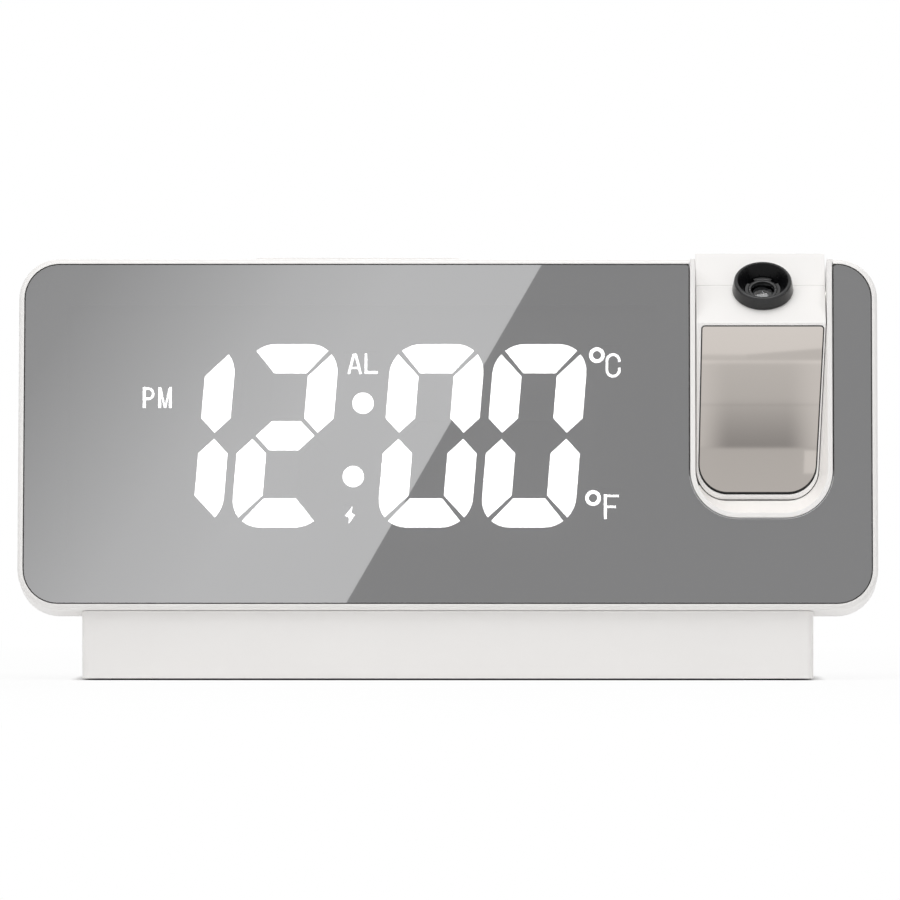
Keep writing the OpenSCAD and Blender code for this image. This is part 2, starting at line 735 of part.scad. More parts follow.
// A lamp behind each bar, dot and sign.
module segment_lamps() {
    color("lightyellow") at_face() along_y(display_board_d - lamp_t, display_board_d) {
        for (i = [0:3]) translate([digit_x[i], digit_mid_h])
            for (bar = i == 0 ? leading_bars : digit_bars) {
                n = len(bar);
                translate(slanted([for (k = [0:1]) ([for (p = bar) p[k]] * [for (p = bar) 1]) / n]))
                    square([2, 2.8], center = true);
            }
        for (s = [-1, 1]) translate(dot_at(s)) square([2, 2.8], center = true);
        for (p = sign_at) translate([p[0], p[1]]) square([2, 2.8], center = true);
    }
}

module display_lead() {
    back = display_board_d + board_t + mesh_fit;
    low = face_pt(back, display_low + 3);
    high = face_pt(back, display_low + 5);
    // flat ribbon from the display board down to the main board
    color("gainsboro") translate([main_left + 8.8, 0, 0]) along_x(14) polygon([low, high,
        [high.x + 2.6, high.y], [high.x + 2.6, main_top_z], [high.x + 1.8, main_top_z],
        [high.x + 1.8, low.y]]);
}

// ---------------------------------------------------------------- wedge housing
// Side outline of the foot and wedge, drawn in by a wall when it is the hollow.
module wedge_outline(inset) {
    low = face_pt(slab_inside, -seam);
    toe_d = (foot_front_y + inset - face_y + seam * sin(face_lean)) / cos(face_lean);
    drop = inset == 0 ? seam : seam + wedge_wall;
    toe = face_pt(toe_d, -drop);
    join_h = (wedge_top_z - foot_rise) / cos(face_lean);
    top_in = face_pt(slab_inside - (inset == 0 ? 0 : bite), join_h - inset);
    heel_in = face_pt(slab_inside - (inset == 0 ? 0 : bite), inset == 0 ? -drop : slab_wall);
    slope = unit(wall_top - wall_kink);
    kink_shift = inset * tan(wall_lean / 2);
    rear_top = wall_top + inset * [-cos(wall_lean), -sin(wall_lean)] - slope * (inset * 0.8);
    rounded_outline(concat([[foot_front_y + inset, base_z + inset], [rear_y - inset, base_z + inset],
        [rear_y - inset, kink_z - kink_shift], rear_top, [top_in.x, rear_top.y]],
        inset == 0 ? [heel_in] : [heel_in, face_pt(slab_inside, -drop)], [toe]),
        inset == 0 ? [0, wedge_low_r, 0, wedge_top_r, 0, 0, 0]
        : [0, 0, 0, wedge_top_r - inset, 0, 0, 0, 0]);
}

module wedge_body() {
    intersection() {
        along_x(wedge_w) wedge_outline(0);
        linear_extrude(2 * wedge_top_z) round_rect(wedge_w, foot_front_y, rear_y, wedge_side_r);
    }
}

// The slab's rear rim and back wall, its back edge rounded.
module slab_rear() {
    difference() {
        translate([0, slab_d, 0]) mirror([0, 1, 0]) soft_slab(slab_d - split_d, back_edge_r);
        along_y(split_d - bite, slab_inside) round_rect(slab_w - 2 * slab_wall,
            slab_wall, slab_h - slab_wall, slab_r - slab_wall);
    }
}

module rear_case() {
    color("white") {
        difference() {
            union() {
                at_face() slab_rear();
                wedge_body();
            }
            along_x(wedge_w - 2 * wedge_wall) wedge_outline(wedge_wall);
            at_face() {
                along_y(split_d - bite, slab_d + mesh_fit) u_outline(well_gap, slab_h + bite);
                for (p = case_screw_at) translate([p.x, 0, p.y]) {
                    disc_y(case_screw_dia + 2 * screw_gap, split_d, slab_d + bite);
                    disc_y(case_head_dia + 0.4, slab_d - screw_head_t, slab_d + bite);
                }
            }
            at_wall() {
                // door opening, its hinge holes and the thumb notch above it
                translate([bay_x, 0, 0]) {
                    bar_x(door_w + 2 * door_gap, -wedge_wall - mesh_fit, bite,
                        door_low_s - door_gap, door_low_s + door_h + door_gap);
                    translate([0, door_axis_y, door_axis_s]) rotate([0, 90, 0])
                        cylinder(d = door_pin_dia + 0.1, h = door_w + 2 * door_pin_len + 0.6, center = true);
                    translate([0, 0, door_low_s + door_h]) thumb_notch();
                }
                for (i = [0:4]) translate([button_x + (i - 2) * button_pitch, 0, button_s])
                    disc_y(button_dia + 2 * button_gap, -wedge_wall - bite, bite);
                speaker_grille();
            }
            port_holes();
            for (x = [-pad_x, pad_x], y = [-pad_y, pad_y]) translate([x, y, 0])
                cylinder(d = pad_dia + 2 * mesh_fit, h = pad_t);
        }
        battery_bay();
        at_wall() {
            // ring that holds the speaker
            translate([speaker_x, 0, speaker_s]) difference() {
                disc_y(speaker_dia + 2.8, -wedge_wall - 3.5, -wedge_wall);
                disc_y(speaker_dia + 2 * mesh_fit, -wedge_wall - 3.5 - bite, -wedge_wall + bite);
            }
            // posts for the button board
            for (s = [-1, 1]) translate([button_board_x + s * button_screw_x, 0, button_s]) difference() {
                disc_y(screw_boss_dia, button_board_y, -wedge_wall);
                disc_y(board_screw_dia + 2 * screw_gap, button_board_y - bite, -wedge_wall - 1.5);
            }
        }
        // posts for the main board
        for (p = main_screw_at) translate([p.x, p.y, base_in_z]) difference() {
            cylinder(d = screw_boss_dia, h = main_board_z - base_in_z);
            cylinder(d = board_screw_dia + 2 * screw_gap, h = 4, center = true);
        }
    }
}

module thumb_notch() {
    translate([0, wedge_wall * 1.6, 0]) rotate([0, 90, 0]) cylinder(r = wedge_wall * 2.2, h = 14, center = true);
}

module battery_bay() {
    at_wall() translate([bay_x, 0, 0]) difference() {
        union() {
            bar_x(door_w + 2 * bay_wall, bay_top_y, -wedge_wall, bay_s - door_h / 2 - bay_wall,
                bay_s + door_h / 2 + bay_wall);
            bar_x(bay_len + 2 * bay_wall, bay_top_y - bay_deep - bay_wall, bay_top_y,
                bay_s - bay_high / 2 - bay_wall, bay_s + bay_high / 2 + bay_wall);
        }
        bar_x(bay_len, bay_top_y - bay_deep, bite, bay_s - bay_high / 2, bay_s + bay_high / 2);
    }
}

module speaker_grille() {
    reach = speaker_dia / 2 - 2.5;
    for (i = [-3:3]) {
        half = sqrt(reach * reach - pow(i * slot_pitch, 2));
        translate([speaker_x, 0, speaker_s + i * slot_pitch]) along_y(-wedge_wall - bite, bite)
            pill(2 * half, slot_w);
    }
}

outlet_size = [14.4, 13.2, 7];
inlet_size = [9, 7.4, 3.3];

module port_holes() {
    for (p = [[outlet_x, outlet_size, 0.3], [inlet_x, inlet_size, 1.6]])
        translate([p[0], 0, main_top_z + p[1].z / 2]) along_y(rear_y - wedge_wall - bite, rear_y + bite)
            round_block(p[1].x + 2 * port_gap, p[1].z + 2 * port_gap, p[2] + port_gap);
    // vents by the thermistor
    for (i = [0:3]) translate([inlet_x - 12.5 + i * 2, 0, main_top_z + 3.4])
        along_y(rear_y - wedge_wall - bite, rear_y + bite) square([1, 5], center = true);
}

// A rounded rectangle centred on the origin.
module round_block(w, h, r) {
    rounded_outline([[-w / 2, -h / 2], [w / 2, -h / 2], [w / 2, h / 2], [-w / 2, h / 2]], [r, r, r, r]);
}

module foot_pads() {
    color("dimgray") for (x = [-pad_x, pad_x], y = [-pad_y, pad_y]) translate([x, y, 0])
        cylinder(d = pad_dia, h = pad_t);
}

// ---------------------------------------------------------------- electronics in the base
module main_board() {
    color("darkgreen") difference() {
        translate([main_left, main_front, main_board_z])
            cube([main_right - main_left, main_rear - main_front, board_t]);
        for (p = main_screw_at) translate([p.x, p.y, main_board_z - bite])
            cylinder(d = board_screw_dia + 2 * screw_gap, h = board_t + 2 * bite);
    }
}

module board_chips() {
    // x, y, width, depth and height of each part on the main board
    chips = [[-40, 4, 14, 10, 2.2], [-12, 6, 9, 9, 1.8], [8, 2, 6, 8, 1.6], [-20, -10, 18, 5, 5.4],
        [24, -10, 8, 5, 5], [46, -9, 7, 7, 3.6], [66, -8, 5, 4, 1.4]];
    color("black") {
        for (c = chips) translate([c[0] - c[2] / 2, c[1] - c[3] / 2, main_top_z]) cube([c[2], c[3], c[4]]);
        for (x = [10, 18]) translate([x, 14, main_top_z]) cylinder(d = 5, h = 7);
    }
}

module charge_outlet() {
    s = outlet_size;
    color("silver") translate([outlet_x, rear_y - s.y, main_top_z + s.z / 2]) difference() {
        along_y(0, s.y) round_block(s.x, s.z, 0.3);
        difference() {
            along_y(2, s.y + bite) round_block(s.x - 0.8, s.z - 0.8, 0.2);
            along_y(0, s.y - 2) translate([0, 1]) square([s.x - 2.4, 1.9], center = true);
        }
    }
}

module power_inlet() {
    s = inlet_size;
    color("silver") translate([inlet_x, rear_y - s.y, main_top_z + s.z / 2]) difference() {
        along_y(0, s.y) round_block(s.x, s.z, 1.6);
        difference() {
            along_y(1.5, s.y + bite) round_block(s.x - 0.6, s.z - 0.6, 1.3);
            along_y(0, s.y - 1) square([s.x - 2.4, 0.7], center = true);
        }
    }
}

module thermistor() {
    x = inlet_x - 9.5;
    y = rear_y - wedge_wall - 2.6;
    leg_h = 3.2;
    color("sandybrown") {
        // dipped bead on two legs
        translate([x, y, main_top_z + leg_h]) rotate_extrude()
            polygon([[0, 0], [1, 0], [1.25, 0.6], [1.25, 1.6], [0.8, 2.3], [0, 2.5]]);
        for (s = [-1, 1]) translate([x + s * 0.6, y, main_top_z]) cylinder(d = 0.5, h = leg_h);
    }
}

module button_board() {
    color("darkgreen") at_wall() difference() {
        translate([button_board_x, 0, 0]) bar_x(button_board_w, button_board_y - board_t, button_board_y,
            button_s - button_board_h / 2, button_s + button_board_h / 2);
        for (s = [-1, 1]) translate([button_board_x + s * button_screw_x, 0, button_s])
            disc_y(board_screw_dia + 2 * screw_gap, button_board_y - board_t - bite, button_board_y + bite);
    }
}

module tact_switches() {
    color("gray") at_wall() for (i = [0:4])
        translate([button_x + (i - 2) * button_pitch, 0, button_s]) {
            bar_x(6, button_board_y, switch_top_y, -3, 3);
            disc_y(3.4, switch_top_y, plunger_y);
        }
}

module snooze_board() {
    color("darkgreen") at_face() translate([snooze_x, 0, 0]) bar_x(20, ledge_back,
        ledge_back + 7, snooze_board_h, snooze_board_h + board_t);
}

module snooze_switch() {
    color("gray") at_face() translate([snooze_x, snooze_d, snooze_board_h + board_t]) {
        translate([-3, -1.8, 0]) cube([6, 3.6, 1.6]);
        cylinder(d = 2.4, h = snooze_plunger_h - snooze_board_h - board_t);
    }
}

module speaker() {
    color("dimgray") at_wall() translate([speaker_x, 0, speaker_s]) {
        difference() {
            disc_y(speaker_dia, -wedge_wall - 2, -wedge_wall);
            disc_y(speaker_dia - 4, -wedge_wall - 1.2, -wedge_wall + bite);
        }
        disc_y(speaker_dia * 0.5, -wedge_wall - speaker_t, -wedge_wall - 2);
    }
}

// Children drawn for both cells, the second turned end for end.
module each_cell() {
    at_wall() translate([bay_x, cell_y, bay_s]) for (s = [-1, 1])
        translate([0, 0, s * (cell_d + cell_gap) / 2]) rotate([0, 0, s > 0 ? 0 : 180]) children();
}

module battery_cells() {
    start = -bay_len / 2 + contact_t + spring_len;
    color("goldenrod") each_cell() translate([start, 0, 0]) rotate([0, 90, 0]) {
        cylinder(d = cell_d, h = cell_len - nub_t);
        cylinder(d = nub_dia, h = cell_len);
    }
}

// A contact spring as a stepped cone of turns.
module battery_springs() {
    turns = 5;
    color("silver") each_cell() translate([-bay_len / 2 + contact_t, 0, 0]) rotate([0, 90, 0])
        for (i = [0:turns - 1]) translate([0, 0, i * spring_len / turns])
            cylinder(d = 8 - 0.9 * i, h = spring_len / turns);
}

module battery_plates() {
    color("silver") each_cell() for (s = [-1, 1])
        translate([s * (bay_len - contact_t) / 2, 0, 0]) cube([contact_t, 8.4, 8.4], center = true);
}

// From the left hinge pin's bore, down behind the display board, to the main board.
module housing_lead() {
    mouth = well_x - well_w / 2 - boss_len - pin_head_t;
    behind = (display_board_d + board_t + slab_inside) / 2;
    function at(x, d, h) = let (p = face_pt(d, h)) [x, p.x, p.y];
    color("black") lead([at(mouth + boss_len, hinge_d, hinge_h), at(mouth - 0.8, hinge_d, hinge_h),
        at(mouth - 2, hinge_d + 0.7, hinge_h + 0.2), at(mouth - 2.6, behind, hinge_h - 0.6),
        at(mouth - 2.6, behind, hinge_h - 3), at(mouth - 2.6, behind, hinge_h - 20),
        [lead_land.x, lead_land.y, kink_z + 13], [lead_land.x, lead_land.y, main_top_z]], lead_dia);
}

// ---------------------------------------------------------------- arm
// Side outline of the arm with its round head, drawn in by a wall when it is the hollow.
module arm_outline(inset) {
    toe = arm_back_pt(-(arm_len - inset) / cos(face_lean));
    front = flat_low.x + inset;
    difference() {
        circle(head_r - inset);
        translate([front - head_r, -head_r]) square([head_r, 2 * head_r]);
    }
    low = inset == 0 ? -arm_len : -arm_len - bite;
    rounded_outline([[front, flat_low.y + inset / 2], [front, low], [toe.x - inset, low],
        arm_back_pt(-head_r / 2) - [inset, 0], [0, inset / 2]],
        inset == 0 ? [0, toe_front_r, arm_toe_r, 0, 0] : [0, 0, 0, 0, 0]);
}

// Front outline of the arm in the arm frame.
module arm_front_outline(inset) {
    w = arm_w / 2 - inset;
    rounded_outline([[-w + arm_in_left, -arm_len + inset], [w - arm_in_right, -arm_len + inset],
        [w, flat_low.y], [w, 2 * head_r], [-w, 2 * head_r], [-w, flat_low.y]],
        [arm_corner_r - inset, arm_corner_r - inset, 0, 0, 0, 0]);
}

// The arm's body: a round head with the ring's flat on it, and the limb below.
module arm_solid(inset) {
    difference() {
        intersection() {
            along_x(arm_w + 2) arm_outline(inset);
            along_y(-2 * head_r, 2 * head_r) arm_front_outline(inset);
        }
        rotate([90 - lens_lift, 0, 0]) translate([0, 0, flat_inset - inset + arm_w])
            cube(2 * arm_w, center = true);
    }
}

// The side of the parting line that the rear shell lies on: from above the ring to the
// hinge axis, then down the middle of the arm's side.
module rear_side(gap) {
    down = arm_back_pt(-2 * arm_len) - arm_back_pt(0);
    shift = [gap, 0];
    above = seam_rise * flat_dir + shift;
    along_x(2 * arm_w) polygon([3 * head_r * lens_dir + above, above, shift - [1.2, 0],
        shift - [1.2, 0] + down,
        [4 * head_r, -3 * arm_len], [4 * head_r, 3 * head_r]]);
}

// What both shells leave free: the hollow, the ring's neck and the bushes' seats.
module arm_cuts() {
    difference() {
        arm_solid(arm_wall);
        // thick cheeks that hold the bushes
        for (s = [-1, 1]) translate([s * (arm_w / 2 - bush_len / 2), 0, 0])
            rotate([0, 90, 0]) cylinder(d = bush_dia + 2.4, h = bush_len, center = true);
    }
    for (s = [-1, 1]) translate([s * arm_w / 2, 0, 0]) rotate([0, 90, 0])
        cylinder(d = bush_dia + 2 * mesh_fit, h = 2 * bush_len + 2 * mesh_fit, center = true);
    translate([lens_x, 0, 0]) rotate([90 - lens_lift, 0, 0])
        cylinder(d = ring_neck + 0.2, h = 2 * head_r);
    // seat of the mirror plate
    along_y(flat_low.x - bite, flat_low.x + plate_t) plate_outline(0.08, plate_foot_gap);
}

module plate_outline(grow, foot_gap) {
    w = arm_w / 2 + grow;
    r = arm_corner_r - plate_margin + grow;
    low = plate_low - foot_gap;
    rounded_outline([[-w + plate_margin + arm_in_left, low], [w - plate_margin - arm_in_right, low],
        [w - plate_margin, plate_top + grow], [-w + plate_left, plate_top + grow]],
        [r, r, plate_top_r + grow, plate_top_r + grow]);
}

arm_screw_at = [[-7, -arm_len + 9], [7, -arm_len + 9], [0, -arm_len + 24]];
arm_post_dia = 4;

module arm_front_shell() {
    color("white") at_arm() difference() {
        union() {
            difference() {
                arm_solid(0);
                arm_cuts();
                rear_side(0);
            }
            // posts for the arm's screws
            intersection() {
                for (p = arm_screw_at) translate([p.x, 0, p.y])
                    disc_y(arm_post_dia, flat_low.x + plate_t + 0.1, head_r);
                difference() {
                    arm_solid(0.4);
                    rear_side(0);
                }
            }
        }
        for (p = arm_screw_at) translate([p.x, 0, p.y])
            disc_y(board_screw_dia + 2 * screw_gap, flat_low.x + arm_wall + 0.6, head_r);
    }
}

module arm_rear_shell() {
    color("white") at_arm() difference() {
        intersection() {
            arm_solid(0);
            rear_side(mesh_fit);
        }
        arm_cuts();
        for (p = arm_screw_at) translate([p.x, 0, p.y]) {
            disc_y(board_screw_dia + 2 * screw_gap, -head_r, head_r);
            arm_screw_seat(p) disc_y(board_head_dia + 0.3, 0, head_r);
        }
    }
}

// Places children at the depth where an arm screw's head rests.
module arm_screw_seat(p) {
    back = arm_back_pt(p.y / cos(face_lean));
    translate([0, back.x - screw_head_t, 0]) children();
}

module arm_mirror() {
    color([0.75, 0.73, 0.71]) at_arm() along_y(flat_low.x + 0.05, flat_low.x + plate_t - mesh_fit)
        plate_outline(0, 0);
}

module hinge_bushes() {
    color("ivory") at_arm() for (s = [-1, 1]) translate([s * (arm_w - bush_len) / 2, 0, 0])
        rotate([0, 90, 0]) difference() {
            cylinder(d = bush_dia, h = bush_len, center = true);
            cylinder(d = pin_dia + 2 * pin_play, h = 2 * bush_len, center = true);
        }
}

// Thin washer in the gap between the arm's right cheek and the well's wall.
module friction_washer() {
    t = arm_gap - 0.06;
    color("silver") at_arm() translate([arm_w / 2 + 0.02, 0, 0]) rotate([0, 90, 0]) difference() {
        cylinder(d = 6, h = t);
        translate([0, 0, -bite]) cylinder(d = pin_dia + 0.4, h = t + 2 * bite);
    }
}

// One hinge pin from its head outside the well's boss to inside the bush.
module hinge_pin(s, bore) {
    at_arm() difference() {
        union() {
            translate([s * (arm_w / 2 - bush_len), 0, 0]) rotate([0, s * 90, 0])
                cylinder(d = pin_dia, h = bush_len - arm_w / 2 + well_w / 2 + boss_len + mesh_fit);
            translate([s * (well_w / 2 + boss_len), 0, 0]) rotate([0, s * 90, 0])
                cylinder(d = boss_dia - 0.6, h = pin_head_t);
        }
        if (bore > 0) rotate([0, 90, 0]) cylinder(d = bore, h = 2 * well_w, center = true);
    }
}

module left_hinge_pin() {
    color("silver") hinge_pin(-1, pin_bore);
}

module right_hinge_pin() {
    color("silver") hinge_pin(1, 0);
}

// ---------------------------------------------------------------- projector
// A tube along the lens axis, from z1 to z2.
module tube(outer, inner, z1, z2) {
    translate([0, 0, z1]) difference() {
        cylinder(d = outer, h = z2 - z1);
        translate([0, 0, -bite]) cylinder(d = inner, h = z2 - z1 + 2 * bite);
    }
}

module projector_tube() {
    color("black") at_lens() {
        tube(tube_dia, cell_dia + 0.4, tube_step, tube_top);
        tube(tube_dia, tube_in_dia, tube_low + board_t, tube_step);
        // ears that sit between the cheeks
        difference() {
            translate([-lens_x, 3, tube_step])
                cube([arm_w - 2 * bush_len - 2 * mesh_fit, 1.6, 2.4], center = true);
            translate([0, 0, -head_r]) cylinder(d = tube_dia - 1, h = 2 * head_r);
        }
    }
}

module lamp_board() {
    color("darkgreen") at_lens() translate([0, 0, tube_low]) cylinder(d = tube_dia, h = board_t);
}

module projector_lamp() {
    color("lightyellow") at_lens() translate([0, 0, tube_low + board_t]) {
        translate([-1.5, -1.5, 0]) cube([3, 3, 0.8]);
    }
}

module condenser_lens() {
    z = tube_low + board_t + 1.1;
    t = 1.2;
    color("lightcyan") at_lens() intersection() {
        translate([0, 0, z]) cylinder(d = tube_in_dia - 2 * mesh_fit, h = t);
        translate([0, 0, z + t - lens_curve]) sphere(r = lens_curve);
    }
}

module image_glass() {
    t = 0.7;
    color("darkslategray") at_lens() translate([0, 0, tube_step - t - 0.4]) intersection() {
        translate([-3.2, -2.4, 0]) cube([6.4, 4.8, t]);
        cylinder(d = tube_in_dia - 2 * mesh_fit, h = t);
    }
}

module focus_ring() {
    color([0.13, 0.13, 0.14]) at_lens() rotate_extrude() polygon([
        [ring_bore / 2, neck_low - 0.1], [ring_neck / 2 + 0.7, neck_low - 0.1],
        [ring_neck / 2 + 0.7, flat_inset - arm_wall - 0.1], [ring_neck / 2, flat_inset - arm_wall - 0.1],
        [ring_neck / 2, ring_base + 0.1], [ring_dia / 2, ring_base + 0.1],
        [ring_rim_dia / 2, ring_top - 0.3], [ring_rim_dia / 2 - 0.3, ring_top],
        [ring_mouth / 2, ring_top], [ring_bore / 2, ring_base + 0.4]]);
}

module lens_cell() {
    color([0.1, 0.1, 0.11]) at_lens() {
        difference() {
            tube(cell_dia, lens_dia + 2 * mesh_fit, cell_low, cell_top);
            // notches for the key that screws the cell in
            for (a = [45, 135, 225, 315]) rotate(a) translate([lens_dia / 2, -notch_w / 2, cell_top - 0.5])
                cube([bite, notch_w, bite]);
        }
        tube(lens_dia + 0.2, lens_dia - 2, cell_low, cell_low + 0.6);
    }
}

module projection_lens() {
    color("lightcyan") at_lens() intersection() {
        translate([0, 0, lens_low]) cylinder(d = lens_dia, h = lens_t);
        translate([0, 0, lens_low + lens_t - lens_curve]) sphere(r = lens_curve);
    }
}

module lens_retainer() {
    color([0.16, 0.16, 0.17]) at_lens() difference() {
        tube(lens_dia, lens_dia - 2 * retainer_wall, lens_seat + mesh_fit, cell_top);
        // slots for the spanner
        for (a = [0, 180]) rotate(a) translate([lens_dia / 2 - bite, -0.5, cell_top - 0.3]) cube([2, 1, 1]);
    }
}

module arm_screws() {
    color("silver") at_arm() for (p = arm_screw_at) translate([p.x, 0, p.y]) {
        back = arm_back_pt(p.y / cos(face_lean)).x;
        screw_y(back - screw_head_t, back - screw_head_t - flat_low.x - arm_wall - 0.8,
            board_screw_dia, board_head_dia);
    }
}

// From inside the left hinge pin's bore to the projector's lamp board.
module arm_lead() {
    x = -(arm_w / 2 - bush_len) + lead_dia / 2 + 0.1;
    z = tube_low + board_t / 2;
    color("black") at_arm() rotate([90 - lens_lift, 0, 0])
        lead([[-well_w / 2 - 0.1, 0, 0], [x - 1.2, 0, 0], [x, 0, -1], [x, 0, z + 1.4],
            [x + 1.2, 0, z], [lens_x - tube_dia / 2, 0, z]], lead_dia);
}

// ---------------------------------------------------------------- buttons and door
module snooze_bar() {
    color("white") at_face() translate([snooze_x, snooze_d, 0]) {
        translate([0, 0, snooze_flange_h]) linear_extrude(slab_h - snooze_flange_h + snooze_rise)
            pill(snooze_len, snooze_w);
        translate([0, 0, snooze_end_h]) linear_extrude(0.8)
            pill(snooze_len + 2.4, snooze_w + 1.6);
    }
}

module rear_button(i) {
    color("white") at_wall() translate([button_x + (i - 2) * button_pitch, 0, button_s]) {
        disc_y(button_dia, flange_y, button_rise);
        disc_y(button_dia + 1.6, button_end_y, flange_y);
    }
}

module mode_button() {
    rear_button(0);
}

module set_button() {
    rear_button(1);
}

module up_button() {
    rear_button(2);
}

module down_button() {
    rear_button(3);
}

module light_button() {
    rear_button(4);
}

module battery_door() {
    color("white") at_wall() translate([bay_x, 0, 0]) {
        difference() {
            along_x(door_w) rounded_outline([[-door_t, door_low_s], [0, door_low_s],
                [0, door_low_s + door_h], [-door_t, door_low_s + door_h]],
                [door_t * 0.45, door_t * 0.45, 0, 0]);
            translate([0, 0, door_low_s + door_h]) thumb_notch();
        }
        for (s = [-1, 1]) translate([s * door_w / 2, door_axis_y, door_axis_s])
            rotate([0, s * 90, 0]) cylinder(d = door_pin_dia, h = door_pin_len);
    }
}

// ---------------------------------------------------------------- screws
// A cross cut into a screw's head, whose outer face lies at y = 0.
module cross_recess(head) {
    for (a = [0, 90]) rotate([0, a, 0]) translate([-0.35 * head, -recess_t, -recess_w / 2])
        cube([0.7 * head, recess_t + bite, recess_w]);
}

// A screw along Y whose head lies outside y, its shank running inwards by reach.
module screw_y(y, reach, dia, head) {
    difference() {
        disc_y(head, y, y + screw_head_t);
        translate([0, y + screw_head_t, 0]) cross_recess(head);
    }
    disc_y(dia, y - reach, y);
}

module case_screws() {
    color("silver") at_face() for (p = case_screw_at) translate([p.x, 0, p.y])
        screw_y(slab_d - screw_head_t, 8, case_screw_dia, case_head_dia);
}

module board_screws() {
    color("silver") {
        at_face() for (p = display_screw_at) translate([p.x, 0, p.y])
            screw_y(display_board_d + board_t, 5, board_screw_dia, board_head_dia);
        at_wall() for (s = [-1, 1]) translate([button_board_x + s * button_screw_x, 0, button_s])
            mirror([0, 1, 0]) screw_y(-button_board_y + board_t, 4.5, board_screw_dia, board_head_dia);
        for (p = main_screw_at) translate([p.x, p.y, main_top_z]) {
            cylinder(d = board_head_dia, h = screw_head_t);
            translate([0, 0, base_in_z - main_top_z + 0.1])
                cylinder(d = board_screw_dia, h = main_top_z - base_in_z);
        }
    }
}

front_bezel();
rear_case();
mirror_panel();
arm_well();
display_reflector();
segment_windows();
display_board();
segment_lamps();
main_board();
board_chips();
charge_outlet();
power_inlet();
thermistor();
button_board();
tact_switches();
snooze_board();
snooze_switch();
speaker();
battery_cells();
battery_springs();
battery_plates();
case_screws();
board_screws();
foot_pads();
left_hinge_pin();
right_hinge_pin();
housing_lead();
display_lead();
arm_front_shell();
arm_rear_shell();
arm_mirror();
hinge_bushes();
friction_washer();
projector_tube();
lamp_board();
projector_lamp();
condenser_lens();
image_glass();
arm_screws();
arm_lead();
focus_ring();
lens_cell();
projection_lens();
lens_retainer();
snooze_bar();
mode_button();
set_button();
up_button();
down_button();
light_button();
battery_door();
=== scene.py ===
"""Dresses a mirror-faced projection alarm clock and sets it in a plain pale studio.

The solids come from model.glb. This script gives each of them its finish, and makes
the pieces whose looks need more than their solid has: softened mouldings, the two-way
mirror, the lit digits and signs and battery springs.
"""

from __future__ import annotations

import logging
import math
from dataclasses import dataclass
from enum import Enum

import bmesh
import bpy
from bmesh.types import BMEdge, BMVert, BMesh
from bpy.types import ColorRamp, Material, Mesh, Node, NodeSocket, NodeTree, Object
from mathutils import Matrix, Vector


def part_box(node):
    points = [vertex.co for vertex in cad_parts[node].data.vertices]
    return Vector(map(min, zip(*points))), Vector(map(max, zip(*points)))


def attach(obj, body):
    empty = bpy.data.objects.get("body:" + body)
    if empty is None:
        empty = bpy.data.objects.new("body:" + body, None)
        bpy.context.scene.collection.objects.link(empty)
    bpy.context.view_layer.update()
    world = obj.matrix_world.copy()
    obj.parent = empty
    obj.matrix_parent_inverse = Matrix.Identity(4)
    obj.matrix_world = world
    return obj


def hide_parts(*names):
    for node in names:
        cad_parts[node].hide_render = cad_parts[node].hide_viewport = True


LOG = logging.getLogger("alarm_clock")
MM = 0.001
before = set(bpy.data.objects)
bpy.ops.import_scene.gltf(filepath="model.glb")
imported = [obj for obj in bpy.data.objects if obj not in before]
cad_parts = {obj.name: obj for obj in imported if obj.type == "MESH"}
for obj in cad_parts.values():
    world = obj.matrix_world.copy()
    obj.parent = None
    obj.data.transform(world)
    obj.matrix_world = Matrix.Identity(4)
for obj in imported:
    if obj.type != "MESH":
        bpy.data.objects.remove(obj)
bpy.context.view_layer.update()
# points of a solid nearer than this are one, and faces that turn less than this are one
WELD_MM = 0.001
FLAT_DEG = 0.5


# ---------------------------------------------------------------- frames
@dataclass(frozen=True)
class FaceFrame:
    """The leaning face: x to the right, depth into the slab, height up from its lower edge.

    Sizes are in millimetres, and points come back in metres.
    """

    lean_deg: float = 8.5
    foot_rise: float = 15.7
    face_y: float = -22.6642
    width: float = 190.0
    height: float = 78.4

    def matrix(self) -> Matrix:
        """Returns the matrix from face coordinates, in metres, to the world."""
        place = Matrix.Translation((0.0, self.face_y * MM, self.foot_rise * MM))
        return place @ Matrix.Rotation(math.radians(-self.lean_deg), 4, "X")

    def point(self, x: float, depth: float, height: float) -> Vector:
        """Returns the world place of a point given in millimetres on the face."""
        return self.matrix() @ (Vector((x, depth, height)) * MM)

    def local(self, place: Vector) -> Vector:
        """Returns the face coordinates, in metres, of a world place."""
        return self.matrix().inverted() @ place

    def normal(self) -> Vector:
        """Returns the unit vector that leaves the face towards the viewer."""
        return self.matrix().to_3x3() @ Vector((0.0, -1.0, 0.0))

    def steepness(self) -> float:
        """Returns the height gained for each step up the face."""
        return math.cos(math.radians(self.lean_deg))


FACE = FaceFrame()


# ---------------------------------------------------------------- colour and node helpers
def linear(code: str) -> tuple[float, float, float, float]:
    """Turns an sRGB hex colour into linear light.

    Args:
        code: Six hex digits, such as "f2f0ee".

    Returns:
        The linear red, green, blue and an alpha of 1.
    """
    parts = [int(code[i : i + 2], 16) / 255 for i in (0, 2, 4)]
    light = [p / 12.92 if p <= 0.04045 else ((p + 0.055) / 1.055) ** 2.4 for p in parts]
    return (light[0], light[1], light[2], 1.0)


def grey(level: float) -> float:
    """Returns the linear light of an sRGB grey level between 0 and 255."""
    return linear(f"{round(level):02x}" * 3)[0]


